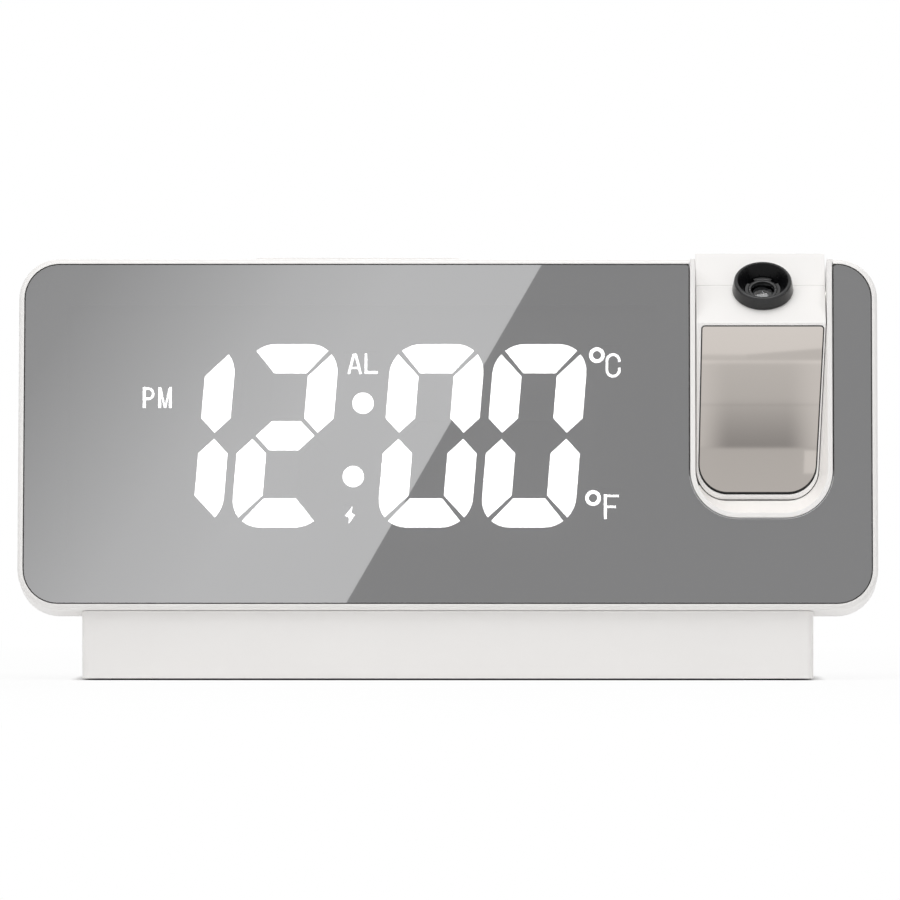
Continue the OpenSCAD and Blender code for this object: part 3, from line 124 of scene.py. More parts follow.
def add_node(tree: NodeTree, kind: str, inputs: dict | None = None, **settings: object) -> Node:
    """Adds a node, sets it up and links it.

    Args:
        tree: The node tree to add to.
        kind: The node's type name without "ShaderNode".
        inputs: Input name or index to a value, or to the output socket that feeds it.
        **settings: Attributes of the node itself.

    Returns:
        The new node.
    """
    node = tree.nodes.new(f"ShaderNode{kind}")
    for name, value in settings.items():
        setattr(node, name, value)
    for name, value in (inputs or {}).items():
        if isinstance(value, NodeSocket):
            tree.links.new(value, node.inputs[name])
        else:
            node.inputs[name].default_value = value
    return node


def set_stops(ramp: ColorRamp, stops: tuple[tuple[float, float], ...]) -> None:
    """Sets a colour ramp to grey stops.

    Args:
        ramp: The ramp to change.
        stops: Position and linear grey value of each stop, in order.
    """
    while len(ramp.elements) < len(stops):
        ramp.elements.new(1.0)
    for element, (place, value) in zip(ramp.elements, stops):
        element.position = place
        element.color = (value, value, value, 1.0)


def new_material(name: str) -> tuple[Material, NodeTree, NodeSocket]:
    """Makes a material that has no shader yet.

    Args:
        name: The material's name.

    Returns:
        The material, its node tree and the output that holds the place on the object.
    """
    material = bpy.data.materials.new(name)
    material.use_nodes = True
    tree = material.node_tree
    tree.nodes.clear()
    return material, tree, add_node(tree, "TexCoord").outputs["Object"]


def per_mm(size: float) -> float:
    """Returns the noise scale, per metre, whose features are about size millimetres."""
    return 1.0 / (size * MM)


# ---------------------------------------------------------------- finishes
def drift(
    tree: NodeTree,
    place: NodeSocket,
    size_mm: float,
    detail: float,
    colours: tuple[str, str],
) -> tuple[NodeSocket, NodeSocket]:
    """Adds a cloudy pattern that drifts between two colours.

    Args:
        tree: The node tree to add to.
        place: The output that holds the place.
        size_mm: The size of the pattern's features.
        detail: How many finer layers it has.
        colours: The two sRGB hex colours.

    Returns:
        The outputs that hold the pattern and the colour.
    """
    inputs = {"Vector": place, "Scale": per_mm(size_mm), "Detail": detail}
    pattern = add_node(tree, "TexNoise", inputs).outputs["Fac"]
    ends = {0: pattern, 6: linear(colours[0]), 7: linear(colours[1])}
    return pattern, add_node(tree, "Mix", ends, data_type="RGBA").outputs[2]


def texture(
    tree: NodeTree,
    height: NodeSocket,
    sheen: tuple[float, float],
    relief: float,
    depth_mm: float,
) -> dict[str, NodeSocket]:
    """Adds what a fine texture does to a surface: it varies the sheen and stands out a little.

    Args:
        tree: The node tree to add to.
        height: The output that holds the texture.
        sheen: Least and greatest roughness.
        relief: How strongly the texture shades.
        depth_mm: How deep it is.

    Returns:
        The shader's inputs for roughness and normal.
    """
    rough = add_node(tree, "MapRange", {"Value": height, "To Min": sheen[0], "To Max": sheen[1]})
    bump = add_node(
        tree, "Bump", {"Height": height, "Strength": relief, "Distance": depth_mm * MM}
    )
    return {"Roughness": rough.outputs["Result"], "Normal": bump.outputs["Normal"]}


def close_finish(tree: NodeTree, **inputs: object) -> None:
    """Ends a finish with its shader and output.

    Args:
        tree: The finish's node tree.
        **inputs: The shader's inputs as add_node takes them, with underscores for spaces.
    """
    named = {name.replace("_", " "): value for name, value in inputs.items()}
    shader = add_node(tree, "BsdfPrincipled", named)
    add_node(tree, "OutputMaterial", {"Surface": shader.outputs["BSDF"]})


@dataclass(frozen=True)
class Moulding:
    """A moulded plastic: one body colour, a fine tool texture and a soft sheen."""

    name: str
    colour: str
    cloud: str
    roughness: float = 0.42
    spread: float = 0.06
    grain_mm: float = 0.35
    cloud_mm: float = 40.0
    depth_mm: float = 0.004
    specular: float = 0.5
    relief: float = 0.35
    ior: float = 1.54

    def material(self) -> Material:
        """Builds the finish.

        Returns:
            Its material.
        """
        material, tree, place = new_material(self.name)
        _, tint = drift(tree, place, self.cloud_mm, 2.0, (self.colour, self.cloud))
        inputs = {"Vector": place, "Scale": per_mm(self.grain_mm), "Detail": 3.0}
        grain = add_node(tree, "TexNoise", inputs).outputs["Fac"]
        sheen = (self.roughness - self.spread, self.roughness + self.spread)
        close_finish(
            tree,
            Base_Color=tint,
            IOR=self.ior,
            Specular_IOR_Level=self.specular,
            **texture(tree, grain, sheen, self.relief, self.depth_mm),
        )
        return material


@dataclass(frozen=True)
class MirrorCoat:
    """A vacuum-deposited mirror coat; below an opacity of 1 light from behind shows through."""

    name: str
    colour: str
    cloud: str
    opacity: float = 1.0
    roughness: float = 0.015
    cloud_mm: float = 60.0

    def material(self) -> Material:
        """Builds the finish.

        Returns:
            Its material.
        """
        material, tree, place = new_material(self.name)
        _, tint = drift(tree, place, self.cloud_mm, 1.0, (self.colour, self.cloud))
        close_finish(
            tree, Base_Color=tint, Metallic=1.0, Roughness=self.roughness, Alpha=self.opacity
        )
        return material


@dataclass(frozen=True)
class Glow:
    """A light-emitting window of diffusing plastic, evenly lit from behind."""

    name: str
    colour: str
    strength: float
    body: str = "f4f4f4"
    cloud: str = "fcfcfc"
    cloud_mm: float = 1.5
    roughness: float = 0.6

    def material(self) -> Material:
        """Builds the finish.

        Returns:
            Its material.
        """
        material, tree, place = new_material(self.name)
        _, tint = drift(tree, place, self.cloud_mm, 2.0, (self.body, self.cloud))
        close_finish(
            tree,
            Base_Color=tint,
            Roughness=self.roughness,
            Emission_Color=linear(self.colour),
            Emission_Strength=self.strength,
        )
        return material


@dataclass(frozen=True)
class PlatedMetal:
    """A plated or turned metal whose fine marks run along one axis."""

    name: str
    colour: str
    cloud: str
    roughness: float = 0.3
    spread: float = 0.08
    mark_mm: float = 0.12
    depth_mm: float = 0.005
    relief: float = 0.3
    # how much closer together the marks lie along each axis
    run: tuple[float, float, float] = (1.0, 12.0, 12.0)

    def material(self) -> Material:
        """Builds the finish.

        Returns:
            Its material.
        """
        material, tree, place = new_material(self.name)
        along = add_node(tree, "Mapping", {"Vector": place, "Scale": self.run}).outputs["Vector"]
        size = self.mark_mm * max(self.run)
        marks, tint = drift(tree, along, size, 4.0, (self.colour, self.cloud))
        sheen = (self.roughness - self.spread, self.roughness + self.spread)
        close_finish(
            tree,
            Base_Color=tint,
            Metallic=1.0,
            **texture(tree, marks, sheen, self.relief, self.depth_mm),
        )
        return material


@dataclass(frozen=True)
class LensGlass:
    """A clear moulded lens with a faint anti-reflection coat."""

    name: str
    colour: str
    transmission: float = 1.0
    roughness: float = 0.02
    haze_mm: float = 3.0
    ior: float = 1.52
    coat: float = 0.3
    coat_roughness: float = 0.02

    def material(self) -> Material:
        """Builds the finish.

        Returns:
            Its material.
        """
        material, tree, place = new_material(self.name)
        inputs = {"Vector": place, "Scale": per_mm(self.haze_mm), "Detail": 2.0}
        haze = add_node(tree, "TexNoise", inputs).outputs["Fac"]
        span = {"Value": haze, "To Min": self.roughness, "To Max": self.roughness * 2}
        close_finish(
            tree,
            Base_Color=linear(self.colour),
            Roughness=add_node(tree, "MapRange", span).outputs["Result"],
            IOR=self.ior,
            Transmission_Weight=self.transmission,
            Coat_Weight=self.coat,
            Coat_Roughness=self.coat_roughness,
        )
        return material


@dataclass(frozen=True)
class CircuitBoard:
    """Solder resist over copper tracks, which show as slightly raised, lighter lines."""

    name: str
    colour: str
    track: str
    pitch_mm: float = 1.27
    depth_mm: float = 0.03
    relief: float = 0.5
    roughness: float = 0.35
    # the distance within a cell at which a track's edge starts and ends
    rise_from: float = 0.45
    rise_to: float = 0.5

    def material(self) -> Material:
        """Builds the finish.

        Returns:
            Its material.
        """
        material, tree, place = new_material(self.name)
        inputs = {"Vector": place, "Scale": per_mm(self.pitch_mm * 2)}
        cells = add_node(tree, "TexVoronoi", inputs, distance="MANHATTAN", feature="F1")
        inputs = {
            "Value": cells.outputs["Distance"],
            "From Min": self.rise_from,
            "From Max": self.rise_to,
        }
        line = add_node(tree, "MapRange", inputs).outputs["Result"]
        ends = {0: line, 6: linear(self.colour), 7: linear(self.track)}
        inputs = {"Height": line, "Strength": self.relief, "Distance": self.depth_mm * MM}
        close_finish(
            tree,
            Base_Color=add_node(tree, "Mix", ends, data_type="RGBA").outputs[2],
            Roughness=self.roughness,
            Normal=add_node(tree, "Bump", inputs).outputs["Normal"],
        )
        return material


class Finish(Enum):
    """Every finish on the clock, named for its real material and how it was made, or for the shade
    or highlight painted into it.
    """

    # Injection-moulded ABS, white, satin from a spark-eroded tool: an even, soft sheen.
    WHITE_ABS = Moulding("white_abs_satin_moulded", "f3f1ef", "f0eeec", roughness=0.36)
    # The same ABS on the arm, polished a little more in the tool.
    ARM_ABS = Moulding("white_abs_fine_satin_moulded", "f3f1ef", "f1efed", roughness=0.3)
    # Glass-filled nylon, black, gloss tool: dark with clear reflections of the room.
    RING_NYLON = Moulding(
        "black_nylon_gloss_moulded", "121213", "171719",
        roughness=0.2, spread=0.05, grain_mm=0.25, cloud_mm=12.0, depth_mm=0.003, specular=0.45,
    )
    # A lens hood's inside: a fine texture, with a darker colour and a weak shine that paint in the
    # shade deep in the bowl.
    HOOD_NYLON_PAINTED_SHADE = Moulding(
        "black_nylon_hood_painted_shade", "08080a", "0c0c0e",
        roughness=0.28, spread=0.05, grain_mm=0.25, cloud_mm=8.0, depth_mm=0.004, specular=0.14,
    )
    # The same nylon, polished in the tool: bright arcs of the lamps round the lens.
    CELL_NYLON = Moulding(
        "black_nylon_polished_moulded", "0e0e10", "131315",
        roughness=0.1, spread=0.03, grain_mm=0.25, cloud_mm=8.0, depth_mm=0.001, specular=0.7,
    )
    # Black styrene, matt tool, so that stray light dies in it.
    BLACK_STYRENE = Moulding(
        "black_styrene_matt_moulded", "0c0c0d", "111112",
        roughness=0.75, spread=0.08, grain_mm=0.2, cloud_mm=15.0, depth_mm=0.01,
    )
    # Unlit diffusing window: milky styrene behind the mirror, coloured near black as painted shade
    # of the dark it sits in.
    DARK_WINDOW = Moulding(
        "milky_styrene_window_painted_dark", "060606", "080808", roughness=0.8, spread=0.05
    )
    # Acetal, natural, turned smooth: creamy and a little waxy.
    ACETAL = Moulding("natural_acetal_moulded", "e9e4d6", "ece8dc", roughness=0.38, spread=0.05)
    # Silicone rubber, matt: the pads under the foot.
    SILICONE = Moulding(
        "grey_silicone_rubber_moulded", "3b3b3c", "414142",
        roughness=0.8, spread=0.06, grain_mm=0.3, cloud_mm=10.0, depth_mm=0.02,
    )
    # Transfer-moulded epoxy of the chips.
    EPOXY = Moulding(
        "black_epoxy_transfer_moulded", "18181a", "202022",
        roughness=0.6, spread=0.08, grain_mm=0.15, cloud_mm=6.0, depth_mm=0.01,
    )
    # Soft vinyl sheath of the leads.
    VINYL = Moulding("black_vinyl_extruded", "141414", "1a1a1a", roughness=0.5, spread=0.06)
    # Polyester ribbon, light grey, ribbed by its conductors.
    RIBBON = Moulding(
        "grey_polyester_ribbon_laminated", "b9b9ba", "c4c4c5", roughness=0.45, spread=0.05
    )
    # Pressed paper pulp of the loudspeaker's cone.
    PAPER_CONE = Moulding(
        "black_paper_pulp_pressed", "191918", "232221",
        roughness=0.9, spread=0.05, grain_mm=0.4, cloud_mm=5.0, depth_mm=0.05,
    )
    # Dip-coated bead of the thermistor.
    DIPPED_BEAD = Moulding("brown_epoxy_dipped", "7a4420", "8a5026", roughness=0.35, spread=0.05)
    # Shrink sleeve of the cells, plain.
    SLEEVE = Moulding("gold_shrink_sleeve", "b98d3a", "c49a48", roughness=0.3, spread=0.04)
    # Clear resin over a yellow phosphor.
    PHOSPHOR = Moulding("phosphor_resin_cast", "e8d88c", "efe2a4", roughness=0.3, spread=0.05)
    # Aluminium coat on acrylic, half silvered, so that the digits shine through it.
    TWO_WAY_MIRROR = MirrorCoat(
        "half_silvered_acrylic", "f2f2f3", "f1f1f2", opacity=0.62, roughness=0.008
    )
    # The uncoated back of that sheet: it only lets light through.
    CLEAR_BACK = MirrorCoat("clear_acrylic_back", "ffffff", "fefefe", opacity=0.0)
    # Silvered acrylic of the arm, warm and fully opaque.
    ARM_MIRROR = MirrorCoat("silvered_acrylic_polished", "f1e9e2", "efe7e0")
    # Dark lacquer on the cut edge of the acrylic, darkened further as painted shade: a thin dark
    # line round the plate and the face mirror, where the gap's shadow falls.
    DARK_EDGE_PAINTED_SHADE = Moulding(
        "dark_edge_painted_gap_shade", "2c2b2a", "343332",
        roughness=0.45, spread=0.08, grain_mm=0.2, cloud_mm=6.0,
    )
    # Pale grey on the face mirror's edge where the white well stands against it: a painted
    # highlight, a pale line in place of the edge's shine.
    PALE_EDGE_PAINTED_HIGHLIGHT = Moulding(
        "pale_edge_painted_highlight", "b4b5b6", "bebfc0",
        roughness=0.5, spread=0.08, grain_mm=0.2, cloud_mm=6.0,
    )
    # A matt dark sheet under the plate's lower edge: painted shade, a dark line where the gap's
    # shadow falls.
    GAP_SHADE_SHEET = Moulding(
        "dark_sheet_painted_gap_shade", "1a1a1a", "212121",
        roughness=0.85, spread=0.05, grain_mm=0.3, cloud_mm=5.0, depth_mm=0.02,
    )
    # Diffusing styrene lit by lamps behind it.
    LIT_WINDOW = Glow("milky_styrene_lit", "ffffff", strength=2.35)
    # Nickel-plated steel of pins, screws, shells and contacts.
    NICKEL = PlatedMetal("nickel_plated_steel", "c9c7c2", "bdbbb6", roughness=0.28)
    # Bright spring wire.
    SPRING = PlatedMetal("nickel_plated_spring_wire", "d2d1cd", "c4c3bf", roughness=0.22)
    # Clear lens of the projector.
    LENS = LensGlass("acrylic_lens_moulded", "f4f7fb")
    # Polariser and crystal of the small image glass.
    IMAGE_GLASS = LensGlass("polarised_glass_laminated", "6a6f78", transmission=0.6)
    # Green solder resist.
    BOARD = CircuitBoard("green_solder_resist", "0f4a2a", "1d6b3e")


class Wardrobe:
    """Builds each finish's material once and puts it on objects."""

    def __init__(self) -> None:
        """Starts with no material made."""
        self._made: dict[Finish, Material] = {}

    def material(self, finish: Finish) -> Material:
        """Gives a finish's material, made on its first use.

        Args:
            finish: The finish.

        Returns:
            Its material.
        """
        if finish not in self._made:
            self._made[finish] = finish.value.material()
        return self._made[finish]

    def dress(self, piece: Object, *finishes: Finish) -> None:
        """Puts finishes on an object, one per material slot.

        Args:
            piece: The object to dress.
            *finishes: Its finishes in slot order.
        """
        wanted = [self.material(finish) for finish in finishes]
        slots = piece.data.materials
        while len(slots) < len(wanted):
            slots.append(None)
        for index in range(len(slots)):
            slots[index] = wanted[min(index, len(wanted) - 1)]

    def dress_nodes(self, finish: Finish, *nodes: str) -> None:
        """Puts one finish on solids that are shown as they are.

        Args:
            finish: The finish.
            *nodes: The solids' names.
        """
        for name in nodes:
            self.dress(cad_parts[name], finish)
            LOG.info("dressed %s in %s", name, finish.value.name)


# ---------------------------------------------------------------- mesh helpers
def node_mesh(node: str) -> BMesh:
    """Copies a solid's mesh with its doubles merged and its flat faces joined.

    Args:
        node: The solid's name.

    Returns:
        A new bmesh, which the caller frees.
    """
    bm = bmesh.new()
    bm.from_mesh(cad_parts[node].data)
    bmesh.ops.remove_doubles(bm, verts=bm.verts, dist=WELD_MM * MM)
    bmesh.ops.dissolve_limit(
        bm,
        angle_limit=math.radians(FLAT_DEG),
        verts=bm.verts,
        edges=bm.edges,
        delimit={"NORMAL"},
    )
    return bm


def mesh_object(bm: BMesh, name: str) -> Object:
    """Turns a bmesh into an object of the scene and frees it.

    Args:
        bm: The mesh, in world place.
        name: The name of the object and its mesh.

    Returns:
        The new object.
    """
    mesh = bpy.data.meshes.new(name)
    bm.to_mesh(mesh)
    bm.free()
    made = bpy.data.objects.new(name, mesh)
    bpy.context.scene.collection.objects.link(made)
    return made


def applied(piece: Object) -> Mesh:
    """Returns a new mesh that has an object's modifiers applied."""
    graph = bpy.context.evaluated_depsgraph_get()
    return bpy.data.meshes.new_from_object(piece.evaluated_get(graph), depsgraph=graph)


def finish_piece(
    bm: BMesh,
    name: str,
    body: str,
    replaced: tuple[str, ...] = (),
    smooth_deg: float = 35.0,
) -> Object:
    """Turns a bmesh into a piece of the clock and frees it.

    Args:
        bm: The mesh, in world place.
        name: The new object's name.
        body: The body it rides on.
        replaced: The solids that it stands for.
        smooth_deg: Edges sharper than this stay sharp in shading.

    Returns:
        The new object.
    """
    piece = mesh_object(bm, name)
    piece.data.shade_smooth()
    piece.data.set_sharp_from_angle(angle=math.radians(smooth_deg))
    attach(piece, body)
    if replaced:
        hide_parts(*replaced)
    LOG.info("made %s with %d faces", name, len(piece.data.polygons))
    return piece


def bevel(bm: BMesh, edges: list[BMEdge], width_mm: float, miter: str = "SHARP") -> None:
    """Rounds edges over.

    Args:
        bm: The mesh to change.
        edges: The edges.
        width_mm: The width of the rounding.
        miter: How roundings meet at outer corners.
    """
    bmesh.ops.bevel(
        bm,
        geom=edges,
        offset=width_mm * MM,
        offset_type="OFFSET",
        segments=2,
        profile=0.5,
        affect="EDGES",
        clamp_overlap=False,
        material=-1,
        miter_outer=miter,
    )


def soften_edges(bm: BMesh, width_mm: float, over_deg: float = 30.0) -> None:
    """Rounds every edge that is sharper than an angle.

    Args:
        bm: The mesh to change.
        width_mm: The width of the rounding.
        over_deg: Edges flatter than this stay as they are.
    """
    limit = math.radians(over_deg)
    edges = [e for e in bm.edges if e.is_manifold and e.calc_face_angle(0.0) > limit]
    bevel(bm, edges, width_mm, "ARC")


def soft_copy(
    node: str, body: str, edge: float, over_deg: float = 30.0, smooth_deg: float = 35.0
) -> Object:
    """Replaces a solid by a copy with rounded edges.

    Args:
        node: The solid.
        body: The body that it belongs to.
        edge: The rounding in millimetres.
        over_deg: Edges flatter than this stay as they are.
        smooth_deg: Edges sharper than this stay sharp in shading.

    Returns:
        The new object.
    """
    bm = node_mesh(node)
    soften_edges(bm, edge, over_deg)
    piece = finish_piece(bm, f"soft_{node}", body, (node,), smooth_deg)
    flat = piece.modifiers.new("flat_faces", "WEIGHTED_NORMAL")
    flat.keep_sharp = True
    return piece


def extent(spots: list[Vector]) -> tuple[Vector, Vector]:
    """Finds the box round some points.

    Args:
        spots: The points.

    Returns:
        Its lowest and its highest corner.
    """
    low, high = (Vector([pick(spot[i] for spot in spots) for i in range(3)]) for pick in (min, max))
    return low, high


def draw_out(bm: BMesh, grown: list, reach_mm: float) -> None:
    """Moves what an extrusion made along the face's outward direction.

    Args:
        bm: The mesh.
        grown: The geometry that the extrusion made.
        reach_mm: How far it goes out, below 0 into the slab.
    """
    moved = [part for part in grown if isinstance(part, BMVert)]
    bmesh.ops.translate(bm, vec=FACE.normal() * reach_mm * MM, verts=moved)


def arc(
    x: float, y: float, across: float, up: float, start_deg: float, end_deg: float, steps: int = 10
) -> tuple[tuple[float, float], ...]:
    """Works out points along part of an ellipse.

    Args:
        x: Its middle across.
        y: Its middle up.
        across: Its half width.
        up: Its half height.
        start_deg: Angle of the first point, counted from the right and up.
        end_deg: Angle of the last point.
        steps: The number of spans.

    Returns:
        The points, each across and up.
    """
    turns = [math.radians(start_deg + (end_deg - start_deg) * i / steps) for i in range(steps + 1)]
    return tuple((x + across * math.cos(t), y + up * math.sin(t)) for t in turns)


# ---------------------------------------------------------------- case
@dataclass
class Case:
    """The white case: bezel, rear case and foot, the arm's well and the pads."""

    wardrobe: Wardrobe
    well_edge: float = 0.25
    moving_edge: float = 0.2
    # each of these is its own solid and rides on a body of the same name
    moving: tuple[str, ...] = (
        "snooze_bar",
        "battery_door",
        "mode_button",
        "set_button",
        "up_button",
        "down_button",
        "light_button",
    )

    def build(self) -> None:
        """Dresses the case and softens the pieces whose edges catch the light."""
        self.wardrobe.dress_nodes(Finish.WHITE_ABS, "front_bezel", "rear_case")
        self.wardrobe.dress_nodes(Finish.SILICONE, "foot_pads")
        self.soft("arm_well", "clock", self.well_edge)
        for node in self.moving:
            self.soft(node, node, self.moving_edge)

    def soft(self, node: str, body: str, edge: float) -> None:
        """Replaces a solid by a white copy with rounded edges.

        Args:
            node: The solid.
            body: The body that it belongs to.
            edge: The rounding in millimetres.
        """
        self.wardrobe.dress(soft_copy(node, body, edge), Finish.WHITE_ABS)


@dataclass
class WellLiner:
    """The sloped lining of the well: from its rim in to the arm, at the right and below it."""

    wardrobe: Wardrobe
    middle_x: float = 69.3
    half: float = 14.55
    low: float = 21.6
    corner: float = 9.4
    front: float = 0.35
    arm_half: float = 14.35
    arm_length: float = 44.2
    arm_taper: float = 2.0
    arm_corner: float = 6.8
    taper_top: float = -4.94
    clearance: float = 0.15
    behind: float = 0.3
    bite: float = 0.05
    # how far below the taper's top the lining starts, and how far round the left corner it ends
    drop: float = 0.6
    end_deg: float = -150.0
    # spans along the arm's side, round its right corner, along its toe and round the left corner
    spans: tuple[int, int, int, int] = (10, 14, 9, 12)

    def build(self) -> None:
        """Makes the lining as a closed wedge between three lines."""
        bm = bmesh.new()
        lines = [[], [], []]
        back_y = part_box("arm_mirror")[0][1] / MM + self.behind
        for x, z in self.inner_line():
            out_x, out_z = self.rim_spot(x, z)
            height = (out_z - FACE.foot_rise) / FACE.steepness()
            rim = FACE.point(self.middle_x + out_x, self.front, height)
            depth = (back_y - FACE.point(0.0, 0.0, height).y / MM) / FACE.steepness()
            wall = FACE.point(self.middle_x + out_x, depth, height)
            inner = Vector((self.middle_x + x, back_y, z)) * MM
            for line, spot in zip(lines, (rim, inner, wall)):
                line.append(bm.verts.new(spot))
        edges = [[bm.edges.new(line[i : i + 2]) for i in range(len(line) - 1)] for line in lines]
        for first in range(3):
            bmesh.ops.bridge_loops(bm, edges=edges[first] + edges[(first + 1) % 3])
        bmesh.ops.holes_fill(bm, edges=[e for e in bm.edges if e.is_boundary], sides=0)
        bmesh.ops.recalc_face_normals(bm, faces=bm.faces)
        piece = finish_piece(bm, "well_liner", "clock", smooth_deg=50.0)
        self.wardrobe.dress(piece, Finish.WHITE_ABS)

    def inner_line(self) -> list[tuple[float, float]]:
        """Works out the lining's inner edge, which runs round the arm at a clearance.

        Returns:
            Its points, from the arm's right side round its toe: x off the well's middle, and z.
        """
        low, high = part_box("hinge_bushes")
        axis = (low.z + high.z) / 2 / MM
        slope = self.arm_taper / (self.arm_length + self.taper_top)
        tilt = math.degrees(math.atan(slope))
        reach = self.arm_corner + self.clearance
        # the arm's two low corners are arcs round (right, middle) and (left, middle)
        middle = axis - self.arm_length + self.arm_corner
        right = self.arm_half - self.arm_taper + self.arm_corner * slope
        right -= self.arm_corner / math.cos(math.radians(tilt))
        left = -self.arm_half + self.arm_corner
        top = axis + self.taper_top - self.drop
        edge = self.arm_half + self.clearance
        first, last = (edge + (z - axis - self.taper_top) * slope for z in (top, middle))
        side, turn, toe, end = self.spans
        points = [
            (first + (last - first) * i / side, top + (middle - top) * i / side)
            for i in range(side)
        ]
        points += arc(right, middle, reach, reach, -tilt, -90.0, turn)
        points += [(right + (left - right) * i / toe, middle - reach) for i in range(1, toe)]
        points += arc(left, middle, reach, reach, -90.0, self.end_deg, end)
        return points

    def rim_spot(self, x: float, z: float) -> tuple[float, float]:
        """Finds the place on the well's inner outline nearest to a point.

        Args:
            x: The point across, from the well's middle.
            z: Its height.

        Returns:
            The place, across and up, a little inside the wall.
        """
        low = FACE.foot_rise + self.low * FACE.steepness()
        middle_z = low + self.corner
        middle_x = self.half - self.corner
        if z >= middle_z:
            return math.copysign(self.half + self.bite, x), z
        if abs(x) <= middle_x:
            return x, low - self.bite
        away = Vector((x - math.copysign(middle_x, x), z - middle_z)).normalized()
        spot = away * (self.corner + self.bite)
        return math.copysign(middle_x, x) + spot.x, middle_z + spot.y


# ---------------------------------------------------------------- mirror panel
@dataclass
class MirrorPanel:
    """The two-way mirror: a bevelled front sheet and the black mask behind it."""

    wardrobe: Wardrobe
    sheet_back: float = 1.0
    panel_front: float = 0.1
    panel_back: float = 2.1
    edge: float = 0.15
    well_x: float = 69.3
    well_reach: float = 15.9
    well_low: float = 10.0
    # gap between sheet, mask and panel back, and how far the mask's cutter stands out of it
    gap: float = 0.02
    overcut: float = 1.0
    # how squarely a face looks out, as a cosine: the front with its bevel, and the front alone
    outward: float = 0.9
    frontal: float = 0.999
    # edges that turn more than this, in radians, are the sheet's rim
    rim_turn: float = 1.0
    # left, low, right and high edge of the mask's opening
    window: tuple[float, float, float, float] = (-84.0, 9.5, 46.0, 68.0)

    def build(self) -> None:
        """Makes the sheet and the mask."""
        self.sheet()
        self.mask()

    def slice(self, front: float, back: float) -> BMesh:
        """Copies the panel with its two faces moved to new depths.

        Args:
            front: Depth of the front face, in millimetres.
            back: Depth of the back face.

        Returns:
            A new bmesh, which the caller frees.
        """
        bm = node_mesh("mirror_panel")
        middle = (self.panel_front + self.panel_back) / 2
        for vert in bm.verts:
            local = FACE.local(vert.co)
            local.y = (front if local.y < middle * MM else back) * MM
            vert.co = FACE.matrix() @ local
        return bm

    def by_well(self, place: Vector) -> bool:
        """Tells whether a place on the panel's edge lies on the arm's well."""
        local = FACE.local(place)
        return abs(local.x / MM - self.well_x) < self.well_reach and local.z / MM > self.well_low

    def sheet(self) -> None:
        """Makes the mirror sheet: edge bevelled, with painted shade on the outer edge and a painted
        highlight by the well; back clear.
        """
        bm = self.slice(self.panel_front, self.sheet_back)
        out = FACE.normal()
        front_edges = [
            e
            for e in bm.edges
            if e.is_manifold
            and e.calc_face_angle(0.0) > self.rim_turn
            and any(f.normal.dot(out) > self.outward for f in e.link_faces)
        ]
        bevel(bm, front_edges, self.edge)
        bm.normal_update()
        for face in bm.faces:
            facing = face.normal.dot(out)
            if facing > self.frontal:
                face.material_index = 0
            elif facing < -self.outward:
                face.material_index = 1
            else:
                # the edge's faces get painted shade, or a painted highlight where they lie by the
                # well
                face.material_index = 3 if self.by_well(face.calc_center_median()) else 2
        piece = finish_piece(
            bm, "mirror_sheet", "clock", ("mirror_panel",), smooth_deg=20.0
        )
        self.wardrobe.dress(
            piece, Finish.TWO_WAY_MIRROR, Finish.CLEAR_BACK, Finish.DARK_EDGE_PAINTED_SHADE, Finish.PALE_EDGE_PAINTED_HIGHLIGHT
        )

    def mask(self) -> None:
        """Makes the black mask, open where the display stands behind the sheet."""
        bm = self.slice(self.sheet_back + self.gap, self.panel_back - self.gap)
        piece = finish_piece(bm, "mirror_mask", "clock")
        left, low, right, high = self.window
        front, back = self.sheet_back - self.overcut, self.panel_back + self.overcut
        cutter = block_between(FACE.matrix(), (left, front, low), (right, back, high))
        carve(piece, cutter)
        self.wardrobe.dress(piece, Finish.BLACK_STYRENE)


def block_between(
    place: Matrix, low: tuple[float, float, float], high: tuple[float, float, float]
) -> Object:
    """Makes a loose block, for use as a cutter.

    Args:
        place: The frame that its corners are given in.
        low: Lowest corner in millimetres.
        high: Highest corner in millimetres.

    Returns:
        An object that the caller removes.
    """
    bm = bmesh.new()
    size = Vector(high) - Vector(low)
    middle = (Vector(high) + Vector(low)) / 2
    bmesh.ops.create_cube(bm, size=1.0)
    bmesh.ops.scale(bm, vec=size * MM, verts=bm.verts)
    bmesh.ops.translate(bm, vec=middle * MM, verts=bm.verts)
    bmesh.ops.transform(bm, matrix=place, verts=bm.verts)
    return mesh_object(bm, "cutter")


def carve(piece: Object, cutter: Object) -> None:
    """Cuts one object out of another for good and removes the cutter.

    Args:
        piece: The object to cut.
        cutter: The object that is cut away.
    """
    tool = piece.modifiers.new("cut", "BOOLEAN")
    tool.operation = "DIFFERENCE"
    tool.solver = "EXACT"
    tool.object = cutter
    result = applied(piece)
    piece.modifiers.remove(tool)
    piece.data = result
    bpy.data.objects.remove(cutter)


# ---------------------------------------------------------------- display
class Bar(Enum):
    """The seven bars of a digit, by their usual letters."""

    A = "top"
    B = "upper right"
    C = "lower right"
    D = "bottom"
    E = "lower left"
    F = "upper left"
    G = "middle"


